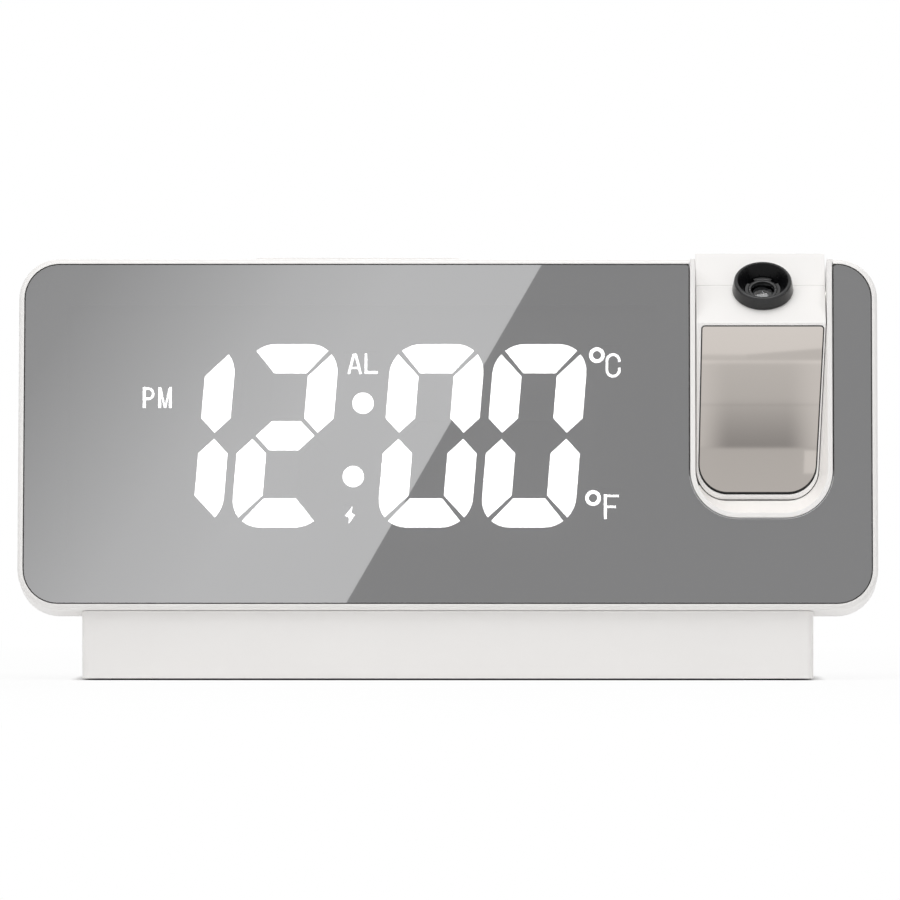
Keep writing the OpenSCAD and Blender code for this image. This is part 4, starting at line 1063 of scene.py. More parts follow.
@dataclass
class Display:
    """The light windows: which bars are lit, and the small signs beside the digits."""

    wardrobe: Wardrobe
    digit_mid_h: float = 39.0
    digit_w: float = 20.8
    digit_h: float = 41.0
    slant_deg: float = 4.6
    digit_x: tuple[float, ...] = (-58.8, -36.0, -3.7, 19.1)
    lit: tuple[str, ...] = ("BC", "ABGED", "ABCDEF", "ABCDEF")
    # a bar whose middle is this near a digit's middle lies level, or is the middle one
    bar_across: float = 1.0
    bar_up: float = 2.0
    # left and right of the colon's dots, and how far off the middle they lie, in digit heights
    colon_x: tuple[float, float] = (-25.0, -15.0)
    colon_rise: float = 0.3
    sign_depth: float = 2.35
    sign_gap: float = 0.05
    window_front: float = 2.1
    front_band: float = 0.3

    def build(self) -> None:
        """Sorts the windows into lit and dark ones and adds the signs."""
        bm = node_mesh("segment_windows")
        lit: list[int] = []
        unlit: list[int] = []
        bm.verts.index_update()
        for part in loose_parts(bm):
            low, high = extent([FACE.local(v.co) for v in part])
            centre = (low + high) / 2 / MM
            (lit if self.is_lit(centre.x, centre.z) else unlit).extend(v.index for v in part)
        dark = bm.copy()
        keep(bm, lit)
        keep(dark, unlit)
        self.sink_signs(dark)
        digits = finish_piece(bm, "lit_digits", "clock", ("segment_windows",))
        self.wardrobe.dress(digits, Finish.LIT_WINDOW)
        # the unlit windows are coloured near black: painted shade
        windows = finish_piece(dark, "dark_windows", "clock")
        self.wardrobe.dress(windows, Finish.DARK_WINDOW)
        self.wardrobe.dress_nodes(Finish.BLACK_STYRENE, "display_reflector")
        self.wardrobe.dress_nodes(Finish.BOARD, "display_board")
        self.wardrobe.dress_nodes(Finish.PHOSPHOR, "segment_lamps")
        self.wardrobe.dress_nodes(Finish.RIBBON, "display_lead")
        Signs(self.wardrobe, self.window_front, self.sign_depth).build()

    def is_lit(self, x: float, height: float) -> bool:
        """Tells whether the window at a place on the face is lit.

        Args:
            x: The window's middle, in millimetres from the slab's middle.
            height: Its height above the slab's lower edge.

        Returns:
            True for a lit one.
        """
        rise = height - self.digit_mid_h
        upright_x = x - rise * math.tan(math.radians(self.slant_deg))
        index = min(range(len(self.digit_x)), key=lambda i: abs(upright_x - self.digit_x[i]))
        across = upright_x - self.digit_x[index]
        if abs(across) > self.digit_w / 2:
            # the colon's dots are lit; sign windows stay dark behind their signs
            left, right = self.colon_x
            return abs(rise) < self.digit_h * self.colon_rise and left < x < right
        if abs(across) < self.bar_across:
            bar = Bar.G if abs(rise) < self.bar_up else Bar.A if rise > 0 else Bar.D
        elif across > 0:
            bar = Bar.B if rise > 0 else Bar.C
        else:
            bar = Bar.F if rise > 0 else Bar.E
        return bar.name in self.lit[index]

    def sink_signs(self, bm: BMesh) -> None:
        """Moves the dark windows' fronts back, so that the signs lie before them.

        Args:
            bm: The dark windows.
        """
        for vert in bm.verts:
            local = FACE.local(vert.co)
            if local.y < (self.window_front + self.front_band) * MM:
                local.y = (self.sign_depth + self.sign_gap) * MM
                vert.co = FACE.matrix() @ local


def loose_parts(bm: BMesh) -> list[list[BMVert]]:
    """Finds a mesh's separate parts.

    Args:
        bm: The mesh.

    Returns:
        Each part's points.
    """
    seen: set[BMVert] = set()
    parts = []
    bm.verts.ensure_lookup_table()
    for start in bm.verts:
        if start in seen:
            continue
        seen.add(start)
        stack, part = [start], []
        while stack:
            vert = stack.pop()
            part.append(vert)
            for edge in vert.link_edges:
                other = edge.other_vert(vert)
                if other not in seen:
                    seen.add(other)
                    stack.append(other)
        parts.append(part)
    return parts


def keep(bm: BMesh, indices: list[int]) -> None:
    """Deletes every point whose index isn't listed.

    Args:
        bm: The mesh to change.
        indices: The points that stay.
    """
    wanted = set(indices)
    bm.verts.ensure_lookup_table()
    gone = [v for v in bm.verts if v.index not in wanted]
    bmesh.ops.delete(bm, geom=gone, context="VERTS")


@dataclass(frozen=True)
class Stroke:
    """One stroke of a letter: its width and the points that it runs through, in millimetres."""

    width: float
    points: tuple[tuple[float, float], ...]


class Letter(Enum):
    """The plain letters of the signs, each from its lower left corner."""

    P = (
        Stroke(0.66, ((0.42, 0.05), (0.42, 4.68))),
        Stroke(0.52, ((0.3, 4.36), *arc(1.35, 3.22, 1.05, 1.14, 90, -90), (0.3, 2.08))),
    )
    M = (
        Stroke(0.62, ((0.41, 0.05), (0.41, 4.68))),
        Stroke(0.62, ((2.75, 0.05), (2.75, 4.68))),
        Stroke(0.38, ((0.6, 4.45), (1.48, 0.26), (1.68, 0.26), (2.56, 4.45))),
    )
    A = (
        Stroke(0.54, ((0.37, 0.05), (1.45, 4.3), (1.92, 4.3), (3.0, 0.05))),
        Stroke(0.42, ((0.8, 1.4), (2.57, 1.4))),
    )
    L = (Stroke(0.56, ((0.37, 4.6), (0.37, 0.38), (2.98, 0.38))),)
    C = (
        Stroke(
            0.58,
            (
                (3.33, 3.66),
                *arc(1.95, 3.9, 1.38, 1.39, 0, 180),
                *arc(1.95, 1.82, 1.38, 1.39, 180, 360),
                (3.33, 2.36),
            ),
        ),
    )
    F = (
        Stroke(0.66, ((0.48, 0.05), (0.48, 5.5))),
        Stroke(0.5, ((0.3, 5.2), (3.5, 5.2))),
        Stroke(0.5, ((0.3, 2.77), (2.85, 2.77))),
    )


@dataclass
class Signs:
    """The small lit signs: PM, AL, the charge mark and the two degree letters."""

    wardrobe: Wardrobe
    front: float
    back: float
    ring_wall: float = 0.8
    # name, and each letter with the left and low edge of its place on the face, in millimetres
    letters: tuple[tuple[str, tuple[tuple[Letter, float, float], ...]], ...] = (
        ("sign_pm", ((Letter.P, -67.64, 45.2), (Letter.M, -64.2, 45.2))),
        ("sign_al", ((Letter.A, -22.33, 52.8), (Letter.L, -18.53, 52.8))),
        ("sign_c", ((Letter.C, 34.6, 51.9),)),
        ("sign_f", ((Letter.F, 34.32, 20.37),)),
    )
    # name, middle x, middle height and outer radius of the degree rings
    rings: tuple[tuple[str, float, float, float], ...] = (
        ("sign_ring_c", 32.97, 57.06, 1.74),
        ("sign_ring_f", 32.1, 25.1, 1.74),
    )
    ring_steps: int = 40
    # points of a stroke nearer than this are one
    weld: float = 0.01
    # name, middle x, middle height, width and height of the charge mark
    charge: tuple[str, float, float, float, float] = ("sign_charge", -21.6, 21.3, 2.28, 3.94)
    # its outline, from its middle, in shares of its width and height
    bolt_outline: tuple[tuple[float, float], ...] = (
        (0.24, 0.5),
        (-0.5, -0.05),
        (-0.1, -0.15),
        (-0.13, -0.5),
        (0.5, 0.01),
        (0.13, 0.11),
    )

    def build(self) -> None:
        """Makes every sign."""
        for name, letters in self.letters:
            self.word(name, letters)
        for ring in self.rings:
            self.ring(*ring)
        self.bolt(*self.charge)

    def word(self, name: str, letters: tuple[tuple[Letter, float, float], ...]) -> None:
        """Makes a sign's letters.

        Args:
            name: The piece's name.
            letters: Each letter with its left and low edge on the face, in millimetres.
        """
        bm = bmesh.new()
        for letter, left, low in letters:
            for stroke in letter.value:
                mesh = self.stroke_mesh(stroke, left, low)
                bm.from_mesh(mesh)
                bpy.data.meshes.remove(mesh)
        bmesh.ops.recalc_face_normals(bm, faces=bm.faces)
        self.light(bm, name)

    def stroke_mesh(self, stroke: Stroke, left: float, low: float) -> Mesh:
        """Makes one stroke: a line drawn out in depth and thickened to the stroke's width.

        Args:
            stroke: The stroke.
            left: Left edge of the letter's place.
            low: Low edge of the letter's place.

        Returns:
            Its mesh in world place, which the caller removes.
        """
        line = bmesh.new()
        spots = [FACE.point(left + x, self.front, low + y) for x, y in stroke.points]
        verts = [line.verts.new(spot) for spot in spots]
        bmesh.ops.remove_doubles(line, verts=verts, dist=self.weld * MM)
        line.verts.ensure_lookup_table()
        edges = [line.edges.new(line.verts[i : i + 2]) for i in range(len(line.verts) - 1)]
        grown = bmesh.ops.extrude_edge_only(line, edges=edges)
        draw_out(line, grown["geom"], self.front - self.back)
        loose = mesh_object(line, "stroke")
        wall = loose.modifiers.new("width", "SOLIDIFY")
        wall.thickness = stroke.width * MM
        wall.offset = 0.0
        wall.use_even_offset = True
        thick, thin = applied(loose), loose.data
        bpy.data.objects.remove(loose)
        bpy.data.meshes.remove(thin)
        return thick

    def ring(self, name: str, x: float, height: float, radius: float) -> None:
        """Makes a degree ring.

        Args:
            name: The piece's name.
            x: Its middle across the face.
            height: Its middle up the face.
            radius: Its outer radius.
        """
        bm = bmesh.new()
        inner = radius - self.ring_wall
        front, back = self.front, self.back
        corners = ((inner, front), (radius, front), (radius, back), (inner, back))
        verts = [bm.verts.new(Vector((r, d, 0.0)) * MM) for r, d in corners]
        edges = [bm.edges.new((verts[i], verts[(i + 1) % 4])) for i in range(4)]
        bmesh.ops.spin(
            bm,
            geom=verts + edges,
            cent=(0, 0, 0),
            axis=(0, 1, 0),
            angle=math.tau,
            steps=self.ring_steps,
            use_merge=True,
        )
        bmesh.ops.recalc_face_normals(bm, faces=bm.faces)
        place = FACE.matrix() @ Matrix.Translation(Vector((x, 0.0, height)) * MM)
        bmesh.ops.transform(bm, matrix=place, verts=bm.verts)
        self.light(bm, name)

    def bolt(self, name: str, x: float, height: float, wide: float, tall: float) -> None:
        """Makes the charge mark, a slanted lightning bolt.

        Args:
            name: The piece's name.
            x: Its middle across the face.
            height: Its middle up the face.
            wide: Its width.
            tall: Its height.
        """
        bm = bmesh.new()
        outline = [(x + a * wide, height + b * tall) for a, b in self.bolt_outline]
        face = bm.faces.new([bm.verts.new(FACE.point(a, self.back, b)) for a, b in outline])
        grown = bmesh.ops.extrude_face_region(bm, geom=[face])
        draw_out(bm, grown["geom"], self.back - self.front)
        bmesh.ops.recalc_face_normals(bm, faces=bm.faces)
        self.light(bm, name)

    def light(self, bm: BMesh, name: str) -> None:
        """Finishes one sign in the lit window's finish."""
        piece = finish_piece(bm, name, "clock")
        self.wardrobe.dress(piece, Finish.LIT_WINDOW)


# ---------------------------------------------------------------- projector arm
@dataclass
class ProjectorArm:
    """The arm: two shells with a seam, the mirror plate, screws and the optics inside."""

    wardrobe: Wardrobe
    shell_edge: float = 0.14
    plate_edge: float = 0.2
    optic_edge: float = 0.12
    shade_sheet_depth: float = 0.35
    shade_sheet_drop: float = 0.3
    # which way a face looks, as a cosine: into the ring, and out of the mirror's front
    inward: float = -0.15
    frontal: float = -0.98
    optics: tuple[tuple[str, str], ...] = (
        ("focus_ring", "focus_ring"),
        ("lens_cell", "lens_cell"),
        ("lens_retainer", "lens_cell"),
    )

    def build(self) -> None:
        """Makes and dresses the arm's pieces."""
        for node in ("arm_front_shell", "arm_rear_shell"):
            shell = soft_copy(node, "projector_arm", self.shell_edge)
            self.wardrobe.dress(shell, Finish.ARM_ABS)
        self.plate()
        self.lay_shade_sheet()
        ring, cell, retainer = (
            soft_copy(node, body, self.optic_edge) for node, body in self.optics
        )
        self.shade_hood(ring, cell)
        self.wardrobe.dress(ring, Finish.RING_NYLON, Finish.HOOD_NYLON_PAINTED_SHADE)
        self.wardrobe.dress(cell, Finish.CELL_NYLON)
        self.wardrobe.dress(retainer, Finish.CELL_NYLON)
        dress = self.wardrobe.dress_nodes
        dress(Finish.ACETAL, "hinge_bushes")
        dress(Finish.SPRING, "friction_washer")
        dress(Finish.NICKEL, "arm_screws", "left_hinge_pin", "right_hinge_pin")
        dress(Finish.BLACK_STYRENE, "projector_tube")
        dress(Finish.BOARD, "lamp_board")
        dress(Finish.PHOSPHOR, "projector_lamp")
        dress(Finish.LENS, "condenser_lens", "projection_lens")
        dress(Finish.IMAGE_GLASS, "image_glass")
        dress(Finish.VINYL, "arm_lead", "housing_lead")

    def shade_hood(self, ring: Object, cell: Object) -> None:
        """Gives the ring's inward faces its second finish, a darker one that paints shade into the
        bowl.

        Args:
            ring: The focus ring's piece.
            cell: The lens cell's piece, which lies behind the ring on the same axis.
        """
        middles = []
        for piece in (ring, cell):
            points = [vert.co for vert in piece.data.vertices]
            middles.append(sum(points, Vector()) / len(points))
        axis = (middles[0] - middles[1]).normalized()
        for face in ring.data.polygons:
            out = face.center - middles[0]
            out -= axis * out.dot(axis)
            face.material_index = 1 if face.normal.dot(out.normalized()) < self.inward else 0

    def lay_shade_sheet(self) -> None:
        """Makes a dark sheet, painted shade, that shows as a line below the plate's lower edge
        where the gap's shadow falls.
        """
        bm = node_mesh("arm_mirror")
        low, high = extent([vert.co for vert in bm.verts])
        for vert in bm.verts:
            if vert.co.y < (low.y + high.y) / 2:
                vert.co.y = low.y + self.shade_sheet_depth * MM
            vert.co.z -= self.shade_sheet_drop * MM
        piece = finish_piece(bm, "under_plate_painted_shade", "projector_arm")
        self.wardrobe.dress(piece, Finish.GAP_SHADE_SHEET)

    def plate(self) -> None:
        """Makes the arm's mirror plate, whose cut edge is dark all round: lacquer, darkened as
        painted shade of the gap round it.
        """
        piece = soft_copy(
            "arm_mirror",
            "projector_arm",
            self.plate_edge,
            over_deg=60.0,
            smooth_deg=20.0,
        )
        for face in piece.data.polygons:
            face.material_index = 0 if face.normal.y < self.frontal else 1
        self.wardrobe.dress(piece, Finish.ARM_MIRROR, Finish.DARK_EDGE_PAINTED_SHADE)


# ---------------------------------------------------------------- inside and back
@dataclass
class Works:
    """The boards, ports, loudspeaker, cells and fasteners."""

    wardrobe: Wardrobe

    def build(self) -> None:
        """Dresses the solids that are shown as they are."""
        dress = self.wardrobe.dress_nodes
        dress(Finish.BOARD, "main_board", "button_board", "snooze_board")
        dress(Finish.EPOXY, "board_chips")
        dress(Finish.BLACK_STYRENE, "tact_switches", "snooze_switch")
        dress(Finish.NICKEL, "charge_outlet", "power_inlet", "battery_plates")
        dress(Finish.NICKEL, "case_screws", "board_screws")
        dress(Finish.DIPPED_BEAD, "thermistor")
        dress(Finish.PAPER_CONE, "speaker")
        dress(Finish.SLEEVE, "battery_cells")
        CellSprings(self.wardrobe).build()


@dataclass
class CellSprings:
    """The two contact springs of the backup cells, wound as cones."""

    wardrobe: Wardrobe
    wire_dia: float = 0.7
    wire_sides: int = 8
    turns: int = 5
    steps: int = 26
    # how near its end a point of the solid lies to count as part of it
    end_band: float = 0.05

    def build(self) -> None:
        """Winds both springs as one piece, in the places of their solids."""
        solid = node_mesh("battery_springs")
        wound = bmesh.new()
        for part in loose_parts(solid):
            spots = [v.co.copy() for v in part]
            low, high = extent(spots)
            middle = (low + high) / 2
            reach = {}
            for end in (low.x, high.x):
                near = [p for p in spots if abs(p.x - end) < self.end_band * MM]
                reach[end] = max((p - middle).yz.length for p in near)
            wide = max(reach, key=lambda end: reach[end])
            narrow = high.x if wide == low.x else low.x
            foot = Vector((wide, middle.y, middle.z))
            self.wind(wound, foot, narrow - wide, reach[wide], reach[narrow])
        solid.free()
        bmesh.ops.recalc_face_normals(wound, faces=wound.faces)
        piece = finish_piece(
            wound, "wound_springs", "clock", ("battery_springs",), smooth_deg=60.0
        )
        self.wardrobe.dress(piece, Finish.SPRING)

    def wind(self, bm: BMesh, foot: Vector, run: float, wide: float, narrow: float) -> None:
        """Winds one spring.

        Args:
            bm: The mesh to add it to.
            foot: The middle of its wide end.
            run: Its length along X, with its direction, in metres.
            wide: Its radius at the wide end.
            narrow: Its radius at the narrow end.
        """
        wire = self.wire_dia / 2 * MM
        sign = math.copysign(1.0, run)
        travel = abs(run) - 2 * wire
        made = bmesh.ops.create_circle(bm, cap_ends=False, segments=self.wire_sides, radius=wire)
        verts = made["verts"]
        # the wire's section stands in the plane of the spring's axis
        turn = Matrix.Rotation(math.pi / 2, 4, "X")
        start = foot + Vector((sign * wire, 0.0, wide - wire))
        bmesh.ops.transform(bm, matrix=Matrix.Translation(start) @ turn, verts=verts)
        edges = list({e for v in verts for e in v.link_edges})
        count = self.turns * self.steps
        before = set(bm.verts) - set(verts)
        bmesh.ops.spin(
            bm,
            geom=verts + edges,
            cent=foot,
            axis=(1, 0, 0),
            dvec=Vector((sign * travel / count, 0.0, 0.0)),
            angle=math.tau * self.turns,
            steps=count,
            use_merge=False,
        )
        wound = [v for v in bm.verts if v not in before]
        for vert in wound:
            out = Vector((0.0, vert.co.y - foot.y, vert.co.z - foot.z))
            share = min(max((abs(vert.co.x - foot.x) - wire) / travel, 0.0), 1.0)
            vert.co -= out.normalized() * (wide - narrow) * share
        ends = [e for e in bm.edges if e.is_boundary and e.verts[0] in set(wound)]
        bmesh.ops.holes_fill(bm, edges=ends, sides=0)


# ---------------------------------------------------------------- studio
@dataclass(frozen=True)
class Sight:
    """The camera's sight by way of a flat mirror."""

    camera: Vector
    middle: Vector
    normal: Vector

    def bounce(self, spot: Vector) -> Vector:
        """Returns the direction in which the sight leaves a spot of the mirror."""
        ray = (spot - self.camera).normalized()
        return ray - 2 * ray.dot(self.normal) * self.normal

    def reach(self, spot: Vector, far_mm: float) -> Vector:
        """Follows the sight from a spot of the mirror to a plane that faces the mirror.

        Args:
            spot: The spot, in metres.
            far_mm: How far the plane is from the mirror's middle.

        Returns:
            The place on the plane, in metres.
        """
        away = self.bounce(self.middle)
        ray = self.bounce(spot)
        plane_spot = self.middle + away * far_mm * MM
        return spot + ray * ((plane_spot - spot).dot(away) / ray.dot(away))


@dataclass(frozen=True)
class Patch:
    """A soft dark patch on a card: its middle, its half width in metres and its depth."""

    middle: Vector
    half: float
    depth: float
    # where its sides start and end to fade, in shares of its half width
    fade_out: float = 1.35
    fade_in: float = 0.6
    # place along the card's run, and the share of the depth there
    stops: tuple[tuple[float, float], ...] = (
        (0.18, 0.0),
        (0.22, 0.25),
        (0.4, 0.36),
        (0.5, 0.62),
        (0.6, 0.85),
        (0.675, 1.0),
        (0.69, 0.06),
        (1.0, 0.0),
    )


@dataclass(frozen=True)
class CardShade:
    """The light of a reflector card: linear levels along a run, with a patch if wanted."""

    start: Vector
    run: Vector
    levels: tuple[tuple[float, float], ...]
    patch: Patch | None = None

    def material(self, name: str) -> Material:
        """Builds the card's material.

        Args:
            name: The card's name.

        Returns:
            The material.
        """
        material, tree, place = new_material(name)
        ramp = add_node(tree, "ValToRGB", {"Fac": self.share_of(tree, place)})
        # a ramp has two stops at least
        stops = self.levels if len(self.levels) > 1 else (self.levels[0], (1.0, self.levels[0][1]))
        set_stops(ramp.color_ramp, stops)
        strength = self.dimmed(tree, place, self.patch) if self.patch else 1.0
        shade = add_node(tree, "Emission", {"Color": ramp.outputs["Color"], "Strength": strength})
        add_node(tree, "OutputMaterial", {"Surface": shade.outputs[0]})
        return material

    def dimmed(self, tree: NodeTree, place: NodeSocket, patch: Patch) -> NodeSocket:
        """Adds nodes that dim the card over a soft patch.

        Args:
            tree: The node tree to add to.
            place: The output that holds the place.
            patch: The patch.

        Returns:
            The output that holds the strength.
        """
        off = add_node(tree, "VectorMath", {0: place, 1: tuple(patch.middle)}, operation="SUBTRACT")
        parts = add_node(tree, "SeparateXYZ", {0: off.outputs[0]})
        side = add_node(tree, "Math", {0: parts.outputs["X"]}, operation="ABSOLUTE")
        across = add_node(
            tree,
            "MapRange",
            {
                "Value": side.outputs[0],
                "From Min": patch.half * patch.fade_out,
                "From Max": patch.half * patch.fade_in,
                "To Max": 1.0,
            },
            interpolation_type="SMOOTHSTEP",
        )
        upright = add_node(tree, "ValToRGB", {"Fac": self.share_of(tree, place)})
        set_stops(upright.color_ramp, patch.stops)
        shares = {0: across.outputs["Result"], 1: upright.outputs["Color"]}
        both = add_node(tree, "Math", shares, operation="MULTIPLY")
        taken = {0: both.outputs[0], 1: -patch.depth, 2: 1.0}
        return add_node(tree, "Math", taken, operation="MULTIPLY_ADD").outputs[0]

    def share_of(self, tree: NodeTree, place: NodeSocket) -> NodeSocket:
        """Adds nodes that tell how far along the run a place is.

        Args:
            tree: The node tree to add to.
            place: The output that holds the place.

        Returns:
            The output that holds the share of the run.
        """
        shift = add_node(tree, "VectorMath", {0: place, 1: tuple(self.start)}, operation="SUBTRACT")
        both = {0: shift.outputs[0], 1: tuple(self.run)}
        return add_node(tree, "VectorMath", both, operation="DOT_PRODUCT").outputs["Value"]


def lit_levels(
    levels: tuple[tuple[float, float], ...], share: float
) -> tuple[tuple[float, float], ...]:
    """Turns grey levels seen in a mirror into the light that its card sends.

    Args:
        levels: Place along the card's run and sRGB grey level there.
        share: The share of the light that the mirror sends back.

    Returns:
        The same places, each with its linear light.
    """
    return tuple((place, grey(level) / share) for place, level in levels)


@dataclass(frozen=True)
class Lamp:
    """A square softbox that points at the clock: place and side in metres, power in watts."""

    name: str
    place: tuple[float, float, float]
    watts: float
    side: float
    aim: tuple[float, float, float] = (0.0, 0.0, 0.05)

    def hang(self) -> None:
        """Adds the lamp to the scene."""
        data = bpy.data.lights.new(self.name, "AREA")
        data.energy = self.watts
        data.shape = "SQUARE"
        data.size = self.side
        lamp = bpy.data.objects.new(self.name, data)
        lamp.location = self.place
        towards = Vector(self.aim) - Vector(self.place)
        lamp.rotation_euler = towards.to_track_quat("-Z", "Y").to_euler()
        bpy.context.scene.collection.objects.link(lamp)


@dataclass
class Studio:
    """The camera, the lamps, the floor and the cards that the mirrors reflect."""

    view_width: float = 198.81
    view_middle: tuple[float, float] = (0.497, 50.8)
    camera_far: float = 2400.0
    camera_side: float = 24.0
    face_middle_y: float = -17.5
    sensor: float = 36.0
    # near and far end of what the camera sees, in metres
    clip: tuple[float, float] = (0.05, 100.0)
    sky: float = 0.52
    lamps: tuple[Lamp, ...] = (
        Lamp("key_lamp", (-0.6, -0.75, 1.0), 2.7, 0.8),
        Lamp("top_lamp", (0.07, -0.35, 0.95), 3.5, 0.55),
        Lamp("front_lamp", (0.35, -1.4, 0.35), 0.3, 0.5),
        Lamp("rear_lamp", (0.3, 1.1, 0.9), 3.0, 0.8),
    )
    # half the floor's side in metres, and its colour
    floor_half: float = 20.0
    floor_colour: str = "f6f6f6"
    foot_half: float = 81.2
    foot_step: float = 0.5
    # from and to, in metres off the foot, and how much whiter the floor looks over that stretch
    floor_ramps: tuple[tuple[float, float, float], ...] = (
        (0.0002, 0.0025, 0.88),
        (0.02, 0.4, 0.12),
    )
    card_far: float = 900.0
    # the slanted line between the face's two cards: its top and its low point on the face
    line_top: tuple[float, float] = (20.5, 76.6)
    line_low: tuple[float, float] = (-22.5, 1.1)
    # left, right, low and high end of those cards on the face
    card_ends: tuple[float, float, float, float] = (-130.0, 130.0, -25.0, 105.0)
    # where the pale card's run starts on the face, and a place across and one below from there
    pale_places: tuple[tuple[float, float], ...] = ((-93.4, 76.6), (6.6, 76.6), (-93.4, -23.4))
    # how much the run goes down for each step across
    pale_fall: float = 0.64
    # place along that run, and grey level of what the face shows there
    pale_levels: tuple[tuple[float, float], ...] = (
        (0.0, 139),
        (0.166, 143),
        (0.387, 160),
        (0.607, 175),
        (0.828, 182),
    )
    grey_level: float = 128
    # top and low end of the run of the arm's card, and that card's corners, on the arm's mirror
    arm_run: tuple[tuple[float, float], ...] = ((64.0, 78.6), (64.0, 38.6))
    arm_corners: tuple[tuple[float, float], ...] = (
        (40.0, 30.0),
        (90.0, 30.0),
        (90.0, 85.0),
        (40.0, 85.0),
    )
    # place down the arm's mirror, in 40 mm from its top, and grey level of what it shows there
    arm_levels: tuple[tuple[float, float], ...] = (
        (0.0, 209),
        (0.165, 207),
        (0.17, 191),
        (0.197, 189),
        (0.2, 208),
        (0.214, 208),
        (0.219, 195),
        (0.437, 194),
        (0.441, 184),
        (0.449, 184),
        (0.452, 192),
        (0.675, 186),
        (0.68, 177),
        (0.92, 178),
    )
    # middle of the dark patch there, left and right end of half its width, and its depth
    patch_place: tuple[float, float] = (68.6, 57.0)
    patch_span: tuple[float, float] = (60.0, 70.0)
    patch_depth: float = 0.5
    # name, corners and grey level of the plain cards before it, and how much nearer they hang
    arm_panes: tuple[tuple[str, tuple[tuple[float, float], ...], float], ...] = (
        ("arm_wedge_card", ((66.0, 70.7), (83.0, 70.7), (83.0, 73.3), (66.0, 71.9)), 185),
        ("arm_pane_card", ((78.7, 45.6), (84.0, 45.6), (84.0, 50.7), (78.9, 50.7)), 201),
    )
    pane_nearer: float = 6.0

    def build(self) -> None:
        """Sets up the whole studio."""
        scene = bpy.context.scene
        scene.view_settings.view_transform = "Standard"
        self.camera()
        self.sky_light()
        self.floor()
        for lamp in self.lamps:
            lamp.hang()
        self.mirror_cards()
        self.arm_cards()

    def aim(self) -> Vector:
        """Returns the point that the camera looks at, in metres."""
        return Vector((self.view_middle[0], self.face_middle_y, self.view_middle[1])) * MM

    def camera_place(self) -> Vector:
        """Returns where the camera stands, in metres."""
        depth = self.face_middle_y - self.camera_far
        return Vector((self.camera_side, depth, self.view_middle[1])) * MM

    def camera(self) -> None:
        """Places the camera level with the clock's middle."""
        data = bpy.data.cameras.new("camera")
        data.sensor_width = self.sensor
        data.lens = self.sensor * self.camera_far / self.view_width
        data.clip_start, data.clip_end = self.clip
        camera = bpy.data.objects.new("camera", data)
        camera.location = self.camera_place()
        camera.rotation_euler = (self.aim() - camera.location).to_track_quat("-Z", "Y").to_euler()
        bpy.context.scene.collection.objects.link(camera)
        bpy.context.scene.camera = camera

    def seen_white(self, tree: NodeTree) -> NodeSocket:
        """Adds nodes that give 1 where the camera, gloss or glass looks straight at a surface.

        Args:
            tree: The node tree to add to.

        Returns:
            The output that holds the factor.
        """
        path = add_node(tree, "LightPath")
        seen = path.outputs["Is Camera Ray"]
        for ray in ("Is Glossy Ray", "Is Transmission Ray"):
            either = {0: seen, 1: path.outputs[ray]}
            seen = add_node(tree, "Math", either, operation="MAXIMUM").outputs[0]
        return seen

    def sky_light(self) -> None:
        """Makes the world: white to look at, softer as a light."""
        world = bpy.data.worlds.new("studio_sky")
        world.use_nodes = True
        tree = world.node_tree
        tree.nodes.clear()
        seen = self.seen_white(tree)
        strength = add_node(tree, "MapRange", {"Value": seen, "To Min": self.sky, "To Max": 1.0})
        white = {"Color": (1, 1, 1, 1), "Strength": strength.outputs["Result"]}
        shade = add_node(tree, "Background", white)
        add_node(tree, "OutputWorld", {"Surface": shade.outputs[0]})
        bpy.context.scene.world = world

    def floor(self) -> None:
        """Makes the pale floor: white to look at far off, and shaded close to the foot."""
        bm = bmesh.new()
        bmesh.ops.create_grid(bm, x_segments=1, y_segments=1, size=self.floor_half)
        floor = mesh_object(bm, "studio_floor")
        material, tree, spot = new_material("pale_studio_floor")
        seen = self.seen_white(tree)
        low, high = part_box("rear_case")
        zero = (0.0, 0.0, 0.0)
        middle = ((low[0] + high[0]) / 2, (low[1] + high[1]) / 2, 0.0)
        half = (self.foot_half * MM, (high[1] - low[1]) / 2 - self.foot_step * MM, 0.0)
        steps = (("SUBTRACT", middle), ("ABSOLUTE", zero), ("SUBTRACT", half), ("MAXIMUM", zero))
        for operation, other in steps:
            spot = add_node(tree, "VectorMath", {0: spot, 1: other}, operation=operation).outputs[0]
        away = add_node(tree, "VectorMath", {0: spot}, operation="LENGTH").outputs["Value"]
        gains = {}
        for index, (start, end, gain) in enumerate(self.floor_ramps):
            ramp = {"Value": away, "From Min": start, "From Max": end, "To Max": gain}
            gains[index] = add_node(tree, "MapRange", ramp).outputs["Result"]
        white_share = add_node(tree, "Math", gains, operation="ADD")
        share = add_node(tree, "Math", {0: seen, 1: white_share.outputs[0]}, operation="MULTIPLY")
        matt = add_node(tree, "BsdfDiffuse", {"Color": linear(self.floor_colour)})
        white = add_node(tree, "Emission", {"Color": (1, 1, 1, 1), "Strength": 1.0})
        parts = {0: share.outputs[0], 1: matt.outputs[0], 2: white.outputs[0]}
        mixed = add_node(tree, "MixShader", parts)
        add_node(tree, "OutputMaterial", {"Surface": mixed.outputs[0]})
        floor.data.materials.append(material)

    def mirror_cards(self) -> None:
        """Hangs the two cards that the face mirror shows: a shaded pale one over a grey one."""
        sight = Sight(self.camera_place(), FACE.point(0.0, 0.0, FACE.height / 2), FACE.normal())
        coat = Finish.TWO_WAY_MIRROR.value
        seen = coat.opacity * linear(coat.colour)[0]
        left, right, low, high = self.card_ends
        lean = (self.line_top[0] - self.line_low[0]) / (self.line_top[1] - self.line_low[1])
        low_edge, high_edge = (
            (self.line_low[0] + (end - self.line_low[1]) * lean, end) for end in (low, high)
        )

        def spot(x: float, height: float) -> Vector:
            """Returns where the sight by way of a place on the face meets the cards."""
            return sight.reach(FACE.point(x, 0.0, height), self.card_far)

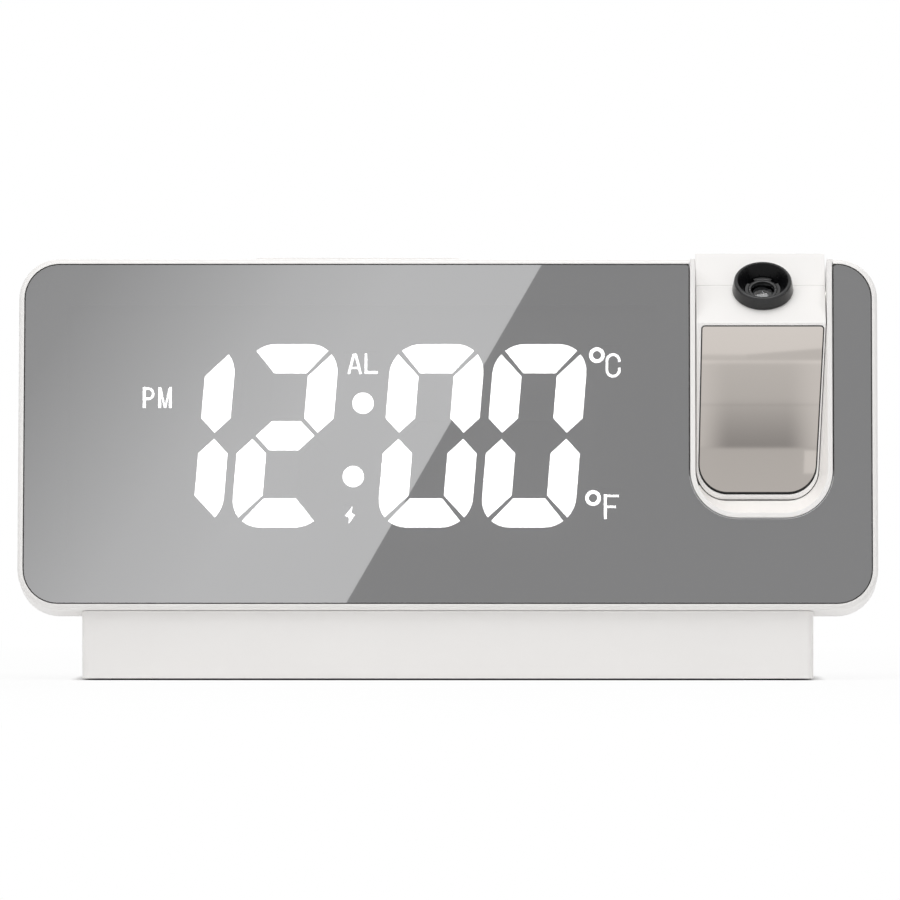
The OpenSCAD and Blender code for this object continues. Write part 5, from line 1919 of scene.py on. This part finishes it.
        pale = [spot(*c) for c in ((left, low), low_edge, high_edge, (left, high))]
        dark = [spot(*c) for c in (low_edge, (right, low), (right, high), high_edge)]
        start, across, below = (spot(*place) for place in self.pale_places)
        along, down = across - start, below - start
        run = along.normalized() / along.length + down.normalized() / down.length * self.pale_fall
        self.card("pale_card", pale, CardShade(start, run, lit_levels(self.pale_levels, seen)))
        plain = lit_levels(((0.0, self.grey_level),), seen)
        self.card("grey_card", dark, CardShade(start, run, plain))

    def arm_cards(self) -> None:
        """Hangs the cards that the arm's mirror shows: a pale room with a soft dark patch."""
        low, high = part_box("arm_mirror")
        middle = (Vector(low) + Vector(high)) / 2
        plane = Vector((middle.x, low[1], middle.z))
        sight = Sight(self.camera_place(), plane, Vector((0.0, -1.0, 0.0)))
        seen = linear(Finish.ARM_MIRROR.value.colour)[0]

        def spot(x: float, z: float, nearer: float = 0.0) -> Vector:
            """Returns where the sight by way of a place on the arm's mirror meets the cards."""
            return sight.reach(Vector((x * MM, plane.y, z * MM)), self.card_far - nearer)

        start, end = (spot(*place) for place in self.arm_run)
        down = end - start
        run = down.normalized() / down.length
        x, z = self.patch_place
        left, right = (spot(side, z).x for side in self.patch_span)
        patch = Patch(spot(x, z), right - left, self.patch_depth)
        back = [spot(*corner) for corner in self.arm_corners]
        shade = CardShade(start, run, lit_levels(self.arm_levels, seen), patch)
        self.card("arm_back_card", back, shade)
        for name, corners, level in self.arm_panes:
            pane = [spot(*corner, self.pane_nearer) for corner in corners]
            self.card(name, pane, CardShade(start, run, lit_levels(((0.0, level),), seen)))

    def card(self, name: str, corners: list[Vector], shade: CardShade) -> None:
        """Hangs one card, seen by gloss alone.

        Args:
            name: The card's name.
            corners: Its corners, in metres.
            shade: How its light runs across it.
        """
        bm = bmesh.new()
        bm.faces.new([bm.verts.new(corner) for corner in corners])
        card = mesh_object(bm, name)
        for ray in ("camera", "diffuse", "transmission", "volume_scatter", "shadow"):
            setattr(card, f"visible_{ray}", False)
        card.data.materials.append(shade.material(name))


def main() -> None:
    """Builds the clock's finishes and pieces, then the studio."""
    logging.basicConfig(level=logging.INFO, format="%(name)s: %(message)s")
    wardrobe = Wardrobe()
    for part in (
        Case(wardrobe),
        WellLiner(wardrobe),
        MirrorPanel(wardrobe),
        Display(wardrobe),
        ProjectorArm(wardrobe),
        Works(wardrobe),
        Studio(),
    ):
        LOG.info("building %s", type(part).__name__)
        part.build()


if __name__ == "__main__":
    main()
